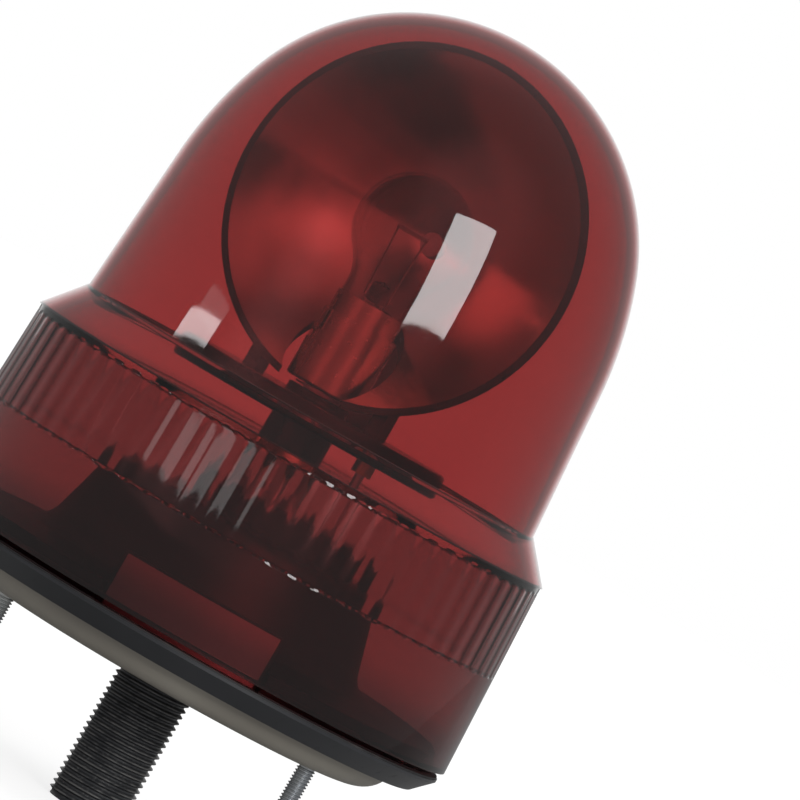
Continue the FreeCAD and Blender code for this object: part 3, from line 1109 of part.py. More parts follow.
def motor_end_cap():
    foot = MOTOR_FOOT_Z - MOTOR_CAP_HEIGHT
    body = disc(MOTOR_RADIUS - MOTOR_CAP_PLAY, foot, MOTOR_FOOT_Z, MOTOR_AXIS)
    body = body.fuse(disc(MOTOR_TAIL_RADIUS, foot - MOTOR_TAIL_HEIGHT, MOTOR_FOOT_Z, MOTOR_AXIS))
    body = body.cut(disc(SHAFT_RADIUS + RUNNING_CLEARANCE, foot, MOTOR_FOOT_Z, MOTOR_AXIS))
    for box in terminal_tabs(SCREW_CLEARANCE):
        body = body.cut(box)
    return body.removeSplitter()


def terminal_tabs(margin):
    tabs = []
    for side in (-1, 1):
        tab = Part.makeBox(TERMINAL_TAB.x + 2 * margin, TERMINAL_TAB.y + 2 * margin,
                           TERMINAL_TAB.z + 2 * margin)
        foot = MOTOR_FOOT_Z - MOTOR_CAP_HEIGHT - TERMINAL_TAB_BELOW - margin
        tab.translate(MOTOR_AXIS + Vector(-TERMINAL_TAB.x / 2.0 - margin, side * TERMINAL_TAB_OFFSET
                                          - TERMINAL_TAB.y / 2.0 - margin, foot))
        tabs.append(tab)
    return tabs


def magnet_foot_z():
    return MOTOR_FOOT_Z + MAGNET_FOOT


def motor_magnets():
    outer = MOTOR_RADIUS - MOTOR_CAN_WALL - MAGNET_PLAY
    magnets = []
    for start in MAGNET_STARTS:
        magnet = sector(outer - MAGNET_THICKNESS, outer, magnet_foot_z(),
                        MOTOR_TOP_Z - MAGNET_TOP_GAP, start, start + MAGNET_SPREAD)
        magnet.translate(MOTOR_AXIS)
        magnets.append(magnet)
    return group(magnets)


def motor_armature():
    radius = MOTOR_RADIUS - MOTOR_CAN_WALL - MAGNET_PLAY - MAGNET_THICKNESS - AIR_GAP
    foot = magnet_foot_z() + ARMATURE_FOOT
    top = MOTOR_TOP_Z - ARMATURE_TOP_GAP
    core = disc(radius, foot, top)
    for angle in ARMATURE_SLOT_ANGLES:
        slot = Part.makeBox(ARMATURE_SLOT_DEPTH + CUT_PAST, ARMATURE_SLOT_WIDTH, top - foot)
        slot.translate(Vector(radius - ARMATURE_SLOT_DEPTH, -ARMATURE_SLOT_WIDTH / 2.0, foot))
        slot.rotate(ORIGIN, UP, angle)
        core = core.cut(slot)
    commutator_foot = MOTOR_FOOT_Z + COMMUTATOR_LIFT
    core = core.fuse(disc(COMMUTATOR_RADIUS, commutator_foot, foot))
    core = core.cut(disc(SHAFT_RADIUS, commutator_foot, top))
    core.translate(MOTOR_AXIS)
    return core.removeSplitter()


def motor_shaft():
    foot = MOTOR_FOOT_Z - MOTOR_CAP_HEIGHT + SHAFT_FOOT_LIFT
    return disc(SHAFT_RADIUS, foot, PINION_TOP_Z, MOTOR_AXIS)


def drive_pinion():
    pitch_radius = GEAR_MODULE * PINION_TEETH / 2.0
    foot = PINION_TOP_Z - PINION_WIDTH
    hub_foot = foot - PINION_HUB_LENGTH
    outline = gear_outline(PINION_TEETH, pitch_radius + TOOTH_TIP * GEAR_MODULE,
                           pitch_radius - TOOTH_ROOT * GEAR_MODULE, -BACKLASH, foot)
    body = Part.Face(Part.makePolygon(outline)).extrude(Vector(0, 0, PINION_WIDTH))
    body = body.fuse(disc(PINION_HUB_RADIUS, hub_foot, foot))
    body = body.cut(disc(SHAFT_RADIUS, hub_foot, PINION_TOP_Z))
    body.translate(MOTOR_AXIS)
    return body.removeSplitter()


def motor_screws():
    return group([screw(MOTOR_SCREW, place + Vector(0, 0, HUMP_TOP_Z))
                  for place in motor_screw_places()])


# ---- wiring --------------------------------------------------------------------
def pole_places():
    return [BLOCK_CENTRE + Vector(x, side * POLE_SPACING / 2.0, BLOCK_SIZE.z)
            for x in POLE_ROWS for side in (-1, 1)]


def terminal_block():
    body = Part.makeBox(BLOCK_SIZE.x, BLOCK_SIZE.y, BLOCK_SIZE.z)
    body.translate(BLOCK_CENTRE - Vector(BLOCK_SIZE.x / 2.0, BLOCK_SIZE.y / 2.0, 0))
    for place in pole_places():
        body = body.cut(disc(POLE_WELL_RADIUS, place.z - POLE_WELL_DEPTH, place.z, place))
        body = body.cut(disc(TERMINAL_SCREW.shank_radius + SCREW_CLEARANCE,
                             place.z - POLE_HOLE_DEPTH, place.z, place))
    return body


def terminal_screws():
    return group([screw(TERMINAL_SCREW, place - Vector(0, 0, POLE_WELL_DEPTH))
                  for place in pole_places()])


def lamp_leads():
    wires = []
    for side in (-1, 1):
        start = Vector(BLOCK_CENTRE.x + POLE_ROWS[0], side * POLE_SPACING / 2.0,
                       BLOCK_CENTRE.z + BLOCK_SIZE.z - LAMP_LEAD_SINK)
        points = [start, Vector(start.x, start.y, LAMP_LEAD_RISE_Z),
                  Vector(0, side * LAMP_LEAD_HALF_GAP, LAMP_LEAD_TURN_Z),
                  Vector(0, side * LAMP_LEAD_HALF_GAP, SPINDLE_TOP_Z - LAMP_LEAD_TOP_GAP)]
        wires.append(tube_along(points, LEAD_RADIUS, LAMP_LEAD_BEND))
    return group(wires)


def motor_leads():
    wires = []
    tab_z = MOTOR_FOOT_Z - MOTOR_CAP_HEIGHT - MOTOR_LEAD_DROP
    row_x = BLOCK_CENTRE.x + POLE_ROWS[1]
    row_z = COVER_WALL + MOTOR_LEAD_RISE
    for side in (-1, 1):
        points = [MOTOR_AXIS + Vector(0, side * MOTOR_LEAD_START, tab_z),
                  MOTOR_AXIS + Vector(0, side * MOTOR_LEAD_SIDE, tab_z),
                  Vector(row_x, side * MOTOR_LEAD_SIDE, row_z),
                  Vector(row_x, side * (BLOCK_SIZE.y / 2.0 + MOTOR_LEAD_GAP), row_z)]
        wires.append(tube_along(points, LEAD_RADIUS, MOTOR_LEAD_BEND))
    return group(wires)


NODES = {
    "globe": globe,
    "globe_seal": globe_seal,
    "base_housing": base_housing,
    "rating_plate": rating_plate,
    "bottom_cover": bottom_cover,
    "cover_gasket": cover_gasket,
    "cover_screws": cover_screws,
    "mounting_studs": mounting_studs,
    "cable_stem": cable_stem,
    "stem_locknut": stem_locknut,
    "spindle": spindle,
    "spindle_screws": spindle_screws,
    "thrust_washer": thrust_washer,
    "retaining_ring": retaining_ring,
    "turntable": turntable,
    "hub_bush": hub_bush,
    "reflector": reflector,
    "reflector_bracket": reflector_bracket,
    "bracket_screws": bracket_screws,
    "mirror_screw": mirror_screw,
    "mirror_nut": mirror_nut,
    "lamp_holder": lamp_holder,
    "holder_insulator": holder_insulator,
    "holder_contact": holder_contact,
    "contact_spring": contact_spring,
    "lamp_cap": lamp_cap,
    "cap_insulator": cap_insulator,
    "lamp_contact": lamp_contact,
    "lamp_bulb": lamp_bulb,
    "lamp_stem": lamp_stem,
    "lamp_filament": lamp_filament,
    "motor_can": motor_can,
    "motor_bush": motor_bush,
    "motor_end_cap": motor_end_cap,
    "motor_terminals": lambda: group(terminal_tabs(0)),
    "motor_magnets": motor_magnets,
    "motor_armature": motor_armature,
    "motor_shaft": motor_shaft,
    "drive_pinion": drive_pinion,
    "motor_screws": motor_screws,
    "terminal_block": terminal_block,
    "terminal_screws": terminal_screws,
    "lamp_leads": lamp_leads,
    "motor_leads": motor_leads,
}

os.makedirs("parts", exist_ok=True)
for name, make in NODES.items():
    shape = make()
    if not shape.isValid():
        raise ValueError(name + " is not a valid shape")
    shape.exportStep("parts/" + name + ".step")
    print(name, len(shape.Solids), round(shape.Volume, 1))
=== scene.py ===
import json
import math

import bmesh
import bpy
from bpy.props import FloatProperty, FloatVectorProperty, IntProperty, PointerProperty
from mathutils import Matrix, Vector


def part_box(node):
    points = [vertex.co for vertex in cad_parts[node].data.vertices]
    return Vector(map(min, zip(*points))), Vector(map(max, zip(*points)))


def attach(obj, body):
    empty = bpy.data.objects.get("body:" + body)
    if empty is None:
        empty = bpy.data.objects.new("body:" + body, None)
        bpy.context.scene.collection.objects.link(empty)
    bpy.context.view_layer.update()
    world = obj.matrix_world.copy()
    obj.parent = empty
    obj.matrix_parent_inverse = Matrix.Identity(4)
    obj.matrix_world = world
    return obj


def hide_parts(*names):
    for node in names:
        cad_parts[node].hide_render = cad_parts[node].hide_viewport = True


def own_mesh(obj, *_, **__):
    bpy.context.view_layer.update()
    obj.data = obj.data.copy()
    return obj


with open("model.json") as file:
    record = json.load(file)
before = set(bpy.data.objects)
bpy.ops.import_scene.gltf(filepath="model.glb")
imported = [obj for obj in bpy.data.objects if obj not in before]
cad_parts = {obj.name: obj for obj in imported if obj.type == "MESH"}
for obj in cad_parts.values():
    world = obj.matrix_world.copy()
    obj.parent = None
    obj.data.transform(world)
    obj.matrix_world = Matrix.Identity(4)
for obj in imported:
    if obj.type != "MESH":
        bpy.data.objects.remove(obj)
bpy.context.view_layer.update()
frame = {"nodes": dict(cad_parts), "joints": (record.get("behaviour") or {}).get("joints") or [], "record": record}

bl_info = {
    "name": "Rotating Beacon",
    "version": (1, 0, 0),
    "blender": (4, 5, 0),
    "location": "View3D > Sidebar > Beacon",
    "description": "Finishes and detail pieces for a red rotating beacon on its packed frame",
    "category": "Add Mesh",
}

MM = 0.001
SHARP_ANGLE = math.radians(32)
CREASE_REACH = 0.02            # mm, how near an edge lies to a creased height
LONG_RUN = 3.0                 # mm, a longer straight run gets guard points
GUARD = 0.25                   # mm from each end of the run
RIB_STEPS = 6                  # mesh steps round the axis for each rib


# ---- sizes and colours -------------------
def span_mm(node):
    low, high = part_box(node)
    return low / MM, high / MM


GLOBE_LOW, GLOBE_HIGH = span_mm("globe")
STEM_LOW, STEM_HIGH = span_mm("cable_stem")
STUD_LOW, STUD_HIGH = span_mm("mounting_studs")
TABLE_Z = span_mm("reflector_bracket")[0].z    # the bracket stands on the turntable
SCREW_LOW, SCREW_HIGH = span_mm("cover_screws")


def length(name, description, default_mm):
    return FloatProperty(name=name, description=description, default=default_mm * MM, min=0.0,
                         unit="LENGTH", precision=5)


def angle(name, description, degrees):
    return FloatProperty(name=name, description=description, default=math.radians(degrees),
                         subtype="ANGLE", unit="ROTATION")


def count(name, description, default):
    return IntProperty(name=name, description=description, default=default, min=1, max=500)


def colour(name, description, default):
    return FloatVectorProperty(name=name, description=description, default=default,
                               subtype="COLOR", size=3, min=0.0, max=1.0)


def level(name, description, default):
    return FloatProperty(name=name, description=description, default=default, min=0.0,
                         soft_max=20.0)


class BeaconGlobeSettings(bpy.types.PropertyGroup):
    height: length("Top", "Top of the globe above the mounting face", GLOBE_HIGH.z)
    foot: length("Skirt foot", "Height of the skirt's lower edge", GLOBE_LOW.z)
    foot_radius: length("Foot radius", "Outer radius at the skirt's foot", 59.9)
    wall: length("Wall", "Wall thickness", 2.5)
    taper: length("Taper", "How much narrower the skirt is at its shoulder", 1.1)
    shoulder: length("Shoulder", "Height of the shoulder's corner", 53.0)
    step_width: length("Step width", "Width of the slope above the shoulder", 7.0)
    step_height: length("Step height", "Height of the slope above the shoulder", 7.6)
    draft: angle("Draft", "Lean of the dome's straight side", 4.28)
    crown_ease: length("Crown ease", "How far the crown lies inside the side's line", 1.44)
    flank_radius: length("Flank radius", "Radius that joins side and crown", 83.0)
    ribs: count("Ribs", "Light-spreading ribs inside the skirt", 72)
    rib_height: length("Rib height", "How far each rib stands in", 0.8)
    rib_top: length("Rib top", "Height of the ribs' upper ends", 51.5)
    rib_length: length("Rib length", "How far the ribs run down", 18.5)
    rib_end: length("Rib end", "Height over which a rib's foot fades out", 0.4)
    sink: length("Sink", "Depth of the sink marks over the ribs", 0.10)
    rib_frost: FloatProperty(name="Rib frost", description="Roughness of the ribs' faces",
                             default=0.11, min=0.0, max=1.0)
    tint: colour("Tint", "Colour of light through the dome's wall", (0.530, 0.145, 0.145))
    skirt_tint: colour("Skirt tint", "Colour of light through the skirt's wall",
                       (0.350, 0.108, 0.108))
    # Foot tint: the skirt's colour turns darker towards its foot; its wall is no thicker there.
    foot_tint: colour("Foot tint", "Colour of light through the darker foot of the skirt",
                      (0.190, 0.080, 0.084))


class BeaconMirrorSettings(bpy.types.PropertyGroup):
    focal_length: length("Focal length", "Of the paraboloid", 15.0)
    radius: length("Radius", "Of the bowl's mouth", 36.8)
    lip: length("Lip", "Width of the flat rim", 1.8)
    wall: length("Wall", "Thickness of the bowl", 2.0)
    centre: length("Centre", "Height of the bowl's axis", 102.6)
    turn: angle("Turn", "Rest angle about the spindle", -20.0)
    haze: FloatProperty(name="Haze", description="Roughness of the metallised face",
                        default=0.13, min=0.0, max=1.0)
    silver: colour("Silver", "Colour of the metallised face", (0.90, 0.86, 0.80))


class BeaconLampSettings(bpy.types.PropertyGroup):
    radius: length("Bulb radius", "Of the glass ball", 12.5)
    neck_radius: length("Neck radius", "Of the glass neck", 7.0)
    neck: length("Neck", "Height where the neck ends", 88.0)
    foot: length("Foot", "Height where the glass enters its cap", 84.5)
    centre: length("Centre", "Height of the ball's centre", 102.6)
    wall: length("Wall", "Thickness of the glass", 0.6)
    coil_turns: count("Turns", "Turns of the filament's coil", 16)


class BeaconThreadSettings(bpy.types.PropertyGroup):
    stem_pitch: length("Stem pitch", "Pitch of the stem's pipe thread", 1.337)
    stem_depth: length("Stem depth", "Depth of the stem's thread", 0.72)
    stem_bore: length("Stem bore", "Radius of the cable's way through", 5.5)
    stud_pitch: length("Stud pitch", "Pitch of the studs' thread", 0.7)
    stud_depth: length("Stud depth", "Depth of the studs' thread", 0.40)
    relief: length("Relief", "Where the threads end below the mounting face", 0.5)
    circle: length("Circle", "Radius of the studs' circle", 40.0)


class BeaconStudioSettings(bpy.types.PropertyGroup):
    floor: colour("Floor", "Colour of the floor", (0.30, 0.30, 0.30))
    floor_glow: level("Floor glow", "Added brightness that whitens the floor", 0.78)
    fill: level("Fill", "Brightness of the room as it lights matt parts", 0.80)
    room: level("Room", "Brightness of the room before the beacon, as gloss shows it", 0.32)
    ceiling: level("Ceiling", "Brightness overhead, as gloss shows it", 0.36)
    left_glow: level("Left glow", "Soft light that the mirror's left side shows", 0.8)
    inner_room: level("Inner room", "Brightness of the room as the mirror shows it", 0.26)
    inner_glow: level("Inner glow", "Soft light that the mirror's middle shows", 0.50)
    right_glow: level("Right glow", "Soft light that the mirror's right side shows", 1.3)
    window: level("Window", "Brightness of the tall soft light", 10.0)
    side: level("Side light", "Brightness of the low side light", 8.5)
    low_strip: level("Low strip", "Brightness of the low strip light", 1.6)
    focal: FloatProperty(name="Lens", description="Focal length of the camera", default=295.6,
                         unit="CAMERA", min=1.0)
    lean: angle("Lean", "Roll of the camera", 29.8)


class Millimetres:
    """Reads a group of settings with its lengths in mm."""

    def __init__(self, group):
        self.group = group

    def __getattr__(self, name):
        value = getattr(self.group, name)
        is_length = self.group.bl_rna.properties[name].unit == "LENGTH"
        return value / MM if is_length else value


# ---- shader maths ------------------------
class Signal:
    """An output socket that takes part in plain arithmetic."""

    def __init__(self, paint, socket):
        self.paint = paint
        self.socket = socket

    def math(self, operation, *others):
        return self.paint.node("ShaderNodeMath", dict(operation=operation),
                               {number: value for number, value in enumerate((self,) + others)})

    def __add__(self, other):
        return self.math("ADD", other)

    def __mul__(self, other):
        return self.math("MULTIPLY", other)

    def __sub__(self, other):
        return self.math("SUBTRACT", other)

    def __rsub__(self, other):
        return self.paint.node("ShaderNodeMath", dict(operation="SUBTRACT"), {0: other, 1: self})

    __radd__ = __add__
    __rmul__ = __mul__

    def clamp(self):
        return self.paint.node("ShaderNodeClamp", {}, {"Value": self})

    def ramp(self, low, high):
        """0 below low, 1 above high, smooth between."""
        return self.paint.node("ShaderNodeMapRange", dict(interpolation_type="SMOOTHSTEP"),
                               {"Value": self, "From Min": low, "From Max": high})


class Paint:
    """A node tree that nodes are added to, one call each."""

    def __init__(self, tree):
        self.tree = tree
        self.tree.nodes.clear()

    def node(self, kind, traits, values, output=0):
        made = self.tree.nodes.new(kind)
        for name, value in traits.items():
            setattr(made, name, value)
        for name, value in values.items():
            self.feed(made.inputs[name], value)
        return Signal(self, made.outputs[output])

    def feed(self, socket, value):
        if isinstance(value, Signal):
            self.tree.links.new(value.socket, socket)
        elif isinstance(value, (tuple, list, Vector)) and socket.type == "RGBA":
            socket.default_value = (*value[:3], 1.0)
        else:
            socket.default_value = value

    def object_point(self):
        return self.node("ShaderNodeTexCoord", {}, {}, "Object")

    def noise(self, per_metre, detail=3.0, roughness=0.55, at=None):
        return self.node("ShaderNodeTexNoise", {},
                         {"Vector": at or self.object_point(), "Scale": per_metre,
                          "Detail": detail, "Roughness": roughness}, "Fac")

    def cells(self, per_metre, at=None):
        return self.node("ShaderNodeTexVoronoi", {},
                         {"Vector": at or self.object_point(), "Scale": per_metre}, "Distance")

    def mix(self, factor, first, second):
        return self.node("ShaderNodeMix", dict(data_type="RGBA"),
                         {0: factor, 6: first, 7: second}, 2)

    def stretched(self, x, y, z):
        return self.node("ShaderNodeMapping", {},
                         {"Vector": self.object_point(), "Scale": (x, y, z)})

    def axis_radius_mm(self):
        """Distance of the point from the beacon's axis."""
        flat = self.node("ShaderNodeVectorMath", dict(operation="MULTIPLY"),
                         {0: self.object_point(), 1: (1 / MM, 1 / MM, 0.0)})
        return self.node("ShaderNodeVectorMath", dict(operation="LENGTH"), {0: flat}, "Value")

    def turn_angle(self):
        """Angle of the point about the beacon's axis, in radians."""
        x, y = (self.node("ShaderNodeSeparateXYZ", {}, {0: self.object_point()}, axis)
                for axis in (0, 1))
        return y.math("ARCTAN2", x)

    def object_height(self):
        """Height of the point above the mounting face, in mm."""
        return self.node("ShaderNodeSeparateXYZ", {}, {0: self.object_point()}, 2) * (1 / MM)

    def towards(self, direction, azimuth, elevation, inner, outer):
        """1 within the inner angle of a place in the room, 0 outside the outer, in degrees."""
        facing = self.node("ShaderNodeVectorMath", dict(operation="DOT_PRODUCT"),
                           {0: direction, 1: away_from_beacon(azimuth, elevation)}, "Value")
        return facing.ramp(math.cos(math.radians(outer)), math.cos(math.radians(inner)))

    def facing_up(self):
        normal = self.node("ShaderNodeNewGeometry", {}, {}, "Normal")
        return self.node("ShaderNodeSeparateXYZ", {}, {0: normal}, 2).ramp(0.35, 0.95)

    def bump(self, height, strength, distance_mm):
        return self.node("ShaderNodeBump", {}, {"Height": height, "Strength": strength,
                                                "Distance": distance_mm * MM})

    def seen_direct(self):
        """1 where the eye sees a thing straight on or through clear parts alone."""
        eye, through, mirrored = (self.node("ShaderNodeLightPath", {}, {}, output) for output
                                  in ("Is Camera Ray", "Is Transmission Ray", "Glossy Depth"))
        return (eye + through * (1 - mirrored.clamp())).clamp()

    def surface(self, **values):
        """Principled surface; words in the keys are joined by underscores."""
        named = {key.replace("_", " "): value for key, value in values.items()}
        return self.node("ShaderNodeBsdfPrincipled", {}, named)

    def finish(self, shader, kind="ShaderNodeOutputMaterial"):
        end = self.tree.nodes.new(kind)
        self.tree.links.new(shader.socket, end.inputs["Surface"])


def finish_material(paint_it):
    """Turns a paint function into one that makes its material once."""
    made = []

    def get():
        if not made:
            made.append(bpy.data.materials.new(paint_it.__name__ + "_finish"))
            made[0].use_nodes = True
            paint_it(Paint(made[0].node_tree))
        return made[0]
    return get


def settings(group):
    return Millimetres(getattr(bpy.context.scene, group))


# ---- finishes ----------------------------
@finish_material
def red_globe(p):
    g = settings("beacon_globe")
    dome, skirt = Vector(g.tint), Vector(g.skirt_tint)
    height = p.object_height()
    inside = 1 - p.axis_radius_mm().ramp(g.foot_radius - 2.1, g.foot_radius - 1.7)
    band = height.ramp(g.rib_top - g.rib_length - 0.6, g.rib_top - g.rib_length) \
        * (1 - height.ramp(g.rib_top, g.rib_top + 0.8))
    ribbed = band * inside
    marks = (p.turn_angle() * g.ribs).math("COSINE") * band * (1 - inside)
    flow = p.noise(22.0, 2.0)
    smudge = p.noise(60.0, 4.0).ramp(0.52, 0.78)
    dust = p.noise(2600.0, 2.0).ramp(0.68, 0.80)
    # the skirt's colour turns darker towards its foot
    base = p.mix(height.ramp(g.foot + 4.0, g.foot + 13.0), tuple(g.foot_tint), tuple(skirt))
    base = p.mix(height.ramp(g.shoulder - 1.0, g.shoulder + 2.0), base, tuple(dome))
    base = p.mix(flow.ramp(0.3, 0.7) * 0.10, base, tuple(dome * 0.6))
    base = p.mix(dust * 0.06, base, (0.80, 0.72, 0.70))
    wave = p.noise(45.0, 1.0) + p.noise(900.0, 2.0) * 0.015
    body = p.surface(Base_Color=base, IOR=1.49, Transmission_Weight=1.0,
                     Roughness=smudge * 0.03 + dust * 0.08 + ribbed * g.rib_frost + 0.018,
                     Normal=p.bump(wave * 0.022 + marks * g.sink, 1.0, 1.0))
    through = p.node("ShaderNodeBsdfTransparent", {}, {"Color": tuple(t ** 0.5 for t in dome)})
    shadow = p.node("ShaderNodeLightPath", {}, {}, "Is Shadow Ray")
    p.finish(p.node("ShaderNodeMixShader", {}, {0: shadow, 1: body, 2: through}))


@finish_material
def clear_glass(p):
    haze = p.noise(120.0, 3.0).ramp(0.5, 0.8)
    tone = p.mix(haze, (0.97, 0.975, 0.97), (0.93, 0.94, 0.93))
    body = p.surface(Base_Color=tone, Roughness=haze * 0.03 + 0.004, IOR=1.5,
                     Transmission_Weight=1.0, Normal=p.bump(p.noise(90.0, 1.0), 0.08, 0.1))
    through = p.node("ShaderNodeBsdfTransparent", {}, {"Color": (0.96, 0.96, 0.96)})
    shadow = p.node("ShaderNodeLightPath", {}, {}, "Is Shadow Ray")
    p.finish(p.node("ShaderNodeMixShader", {}, {0: shadow, 1: body, 2: through}))


def moulded(p, dark, light, rough, grain_mm=0.16, grain=0.18, dust=0.08, coat=0.0):
    """Injection-moulded plastic: spark-eroded grain, flow marks, settled dust."""
    flow = p.noise(38.0, 3.0)
    speck = p.noise(1000.0 / grain_mm, 2.0)
    settled = p.facing_up() * p.noise(260.0, 4.0).ramp(0.42, 0.72) * dust
    base = p.mix(flow.ramp(0.3, 0.7), dark, light)
    base = p.mix(settled, base, (0.30, 0.28, 0.26))
    scuff = p.noise(500.0, 3.0, at=p.stretched(1.0, 1.0, 0.12)).ramp(0.62, 0.75)
    roughness = flow * 0.10 + settled * 0.5 + scuff * 0.10 + (rough - 0.05)
    height = speck + p.cells(620.0) * 0.3
    p.finish(p.surface(Base_Color=base, Roughness=roughness, IOR=1.5, Coat_Weight=coat,
                       Normal=p.bump(height, grain, 0.05)))


@finish_material
def black_moulding(p):
    moulded(p, (0.016, 0.017, 0.020), (0.024, 0.025, 0.029), 0.38)


@finish_material
def gloss_black(p):
    moulded(p, (0.010, 0.010, 0.012), (0.016, 0.016, 0.018), 0.20, grain=0.05, dust=0.04)


@finish_material
def grey_moulding(p):
    moulded(p, (0.262, 0.240, 0.205), (0.310, 0.287, 0.245), 0.48, grain_mm=0.22, grain=0.25)


def metal(p, dark, light, rough, streak=0.10, per_metre=700.0, along=(1.0, 1.0, 0.08),
          metallic=1.0, spot=(0.08, 0.06, 0.04), spots=0.25):
    """Plated or turned metal: streaks, patches and a little tarnish."""
    patch = p.noise(110.0, 4.0)
    lines = p.noise(per_metre, 3.0, at=p.stretched(*along))
    stain = p.noise(330.0, 5.0).ramp(0.60, 0.78) * spots
    base = p.mix(patch.ramp(0.3, 0.7), dark, light)
    base = p.mix(stain, base, spot)
    p.finish(p.surface(Base_Color=base, Metallic=metallic,
                       Roughness=lines * streak + patch * 0.10 + stain * 0.4 + (rough - 0.08),
                       Normal=p.bump(lines + patch * 0.4, 0.12, 0.03)))


@finish_material
def zinc_steel(p):
    metal(p, (0.52, 0.54, 0.57), (0.68, 0.69, 0.68), 0.30)


@finish_material
def nickel_brass(p):
    metal(p, (0.66, 0.62, 0.52), (0.78, 0.74, 0.65), 0.24)


@finish_material
def brass(p):
    metal(p, (0.58, 0.40, 0.17), (0.74, 0.54, 0.26), 0.28, spot=(0.16, 0.08, 0.03))


@finish_material
def solder(p):
    metal(p, (0.50, 0.50, 0.50), (0.66, 0.66, 0.65), 0.42, spots=0.4)


@finish_material
def tungsten(p):
    metal(p, (0.18, 0.17, 0.17), (0.26, 0.25, 0.24), 0.45)


@finish_material
def magnet(p):
    metal(p, (0.035, 0.035, 0.038), (0.06, 0.06, 0.062), 0.62, metallic=0.3, spots=0.1)


@finish_material
def mirror(p):
    silver = Vector(settings("beacon_mirror").silver)
    haze = p.noise(75.0, 4.0).ramp(0.45, 0.8)
    pits = p.noise(2400.0, 2.0).ramp(0.68, 0.80)
    base = p.mix(haze, tuple(silver), tuple(silver * 0.90))
    base = p.mix(pits * 0.35, base, (0.35, 0.33, 0.30))
    wave = p.noise(130.0, 2.0) + p.noise(1400.0, 2.0) * 0.03
    p.finish(p.surface(Base_Color=base, Metallic=1.0,
                       Roughness=haze * 0.07 + pits * 0.15 + settings("beacon_mirror").haze,
                       Normal=p.bump(wave, 0.10, 0.10)))


@finish_material
def stem_black(p):
    """Dark glass-filled plastic with bright worn thread crests."""
    radius = p.axis_radius_mm()
    crest = radius.ramp(7.95, 8.32)
    outside = radius.ramp(6.6, 7.0)
    fibre = p.noise(1500.0, 3.0).ramp(0.55, 0.72)
    base = p.mix(fibre, (0.030, 0.031, 0.034), (0.085, 0.084, 0.085))
    base = p.mix(crest * outside * p.noise(300.0, 3.0).ramp(0.35, 0.6) * 0.55, base,
                 (0.20, 0.195, 0.19))
    p.finish(p.surface(Base_Color=base, Roughness=fibre * 0.18 + 0.36,
                       Normal=p.bump(p.noise(2600.0, 2.0), 0.25, 0.04)))


@finish_material
def rubber(p):
    bloom = p.noise(200.0, 4.0).ramp(0.4, 0.8)
    base = p.mix(bloom, (0.014, 0.014, 0.015), (0.040, 0.039, 0.038))
    p.finish(p.surface(Base_Color=base, Roughness=bloom * 0.15 + 0.68,
                       Normal=p.bump(p.noise(3500.0, 2.0), 0.3, 0.05)))


@finish_material
def phenolic(p):
    marble = p.noise(240.0, 5.0, 0.7)
    base = p.mix(marble.ramp(0.35, 0.65), (0.028, 0.014, 0.009), (0.075, 0.035, 0.020))
    p.finish(p.surface(Base_Color=base, Roughness=marble * 0.2 + 0.26,
                       Normal=p.bump(p.noise(2200.0, 2.0), 0.15, 0.04)))


@finish_material
def wire_sleeve(p):
    tone = p.noise(160.0, 3.0)
    base = p.mix(tone.ramp(0.3, 0.7), (0.24, 0.030, 0.022), (0.32, 0.045, 0.030))
    p.finish(p.surface(Base_Color=base, Roughness=tone * 0.15 + 0.30,
                       Normal=p.bump(p.noise(900.0, 2.0), 0.12, 0.05)))


@finish_material
def blank_plate(p):
    grain = p.noise(1800.0, 3.0, at=p.stretched(0.02, 0.02, 1.0))
    tone = p.mix(grain, (0.44, 0.44, 0.45), (0.54, 0.54, 0.55))
    p.finish(p.surface(Base_Color=tone, Metallic=0.55, Roughness=grain * 0.12 + 0.34,
                       Normal=p.bump(grain, 0.10, 0.02)))


FINISHES = {
    "red_globe": red_globe, "black_moulding": black_moulding, "gloss_black": gloss_black,
    "grey_moulding": grey_moulding, "stem_black": stem_black, "blank_plate": blank_plate,
    "rubber": rubber, "zinc_steel": zinc_steel, "nickel_brass": nickel_brass, "brass": brass,
    "mirror": mirror, "phenolic": phenolic, "clear_glass": clear_glass, "tungsten": tungsten,
    "solder": solder, "magnet": magnet, "wire_sleeve": wire_sleeve,
}


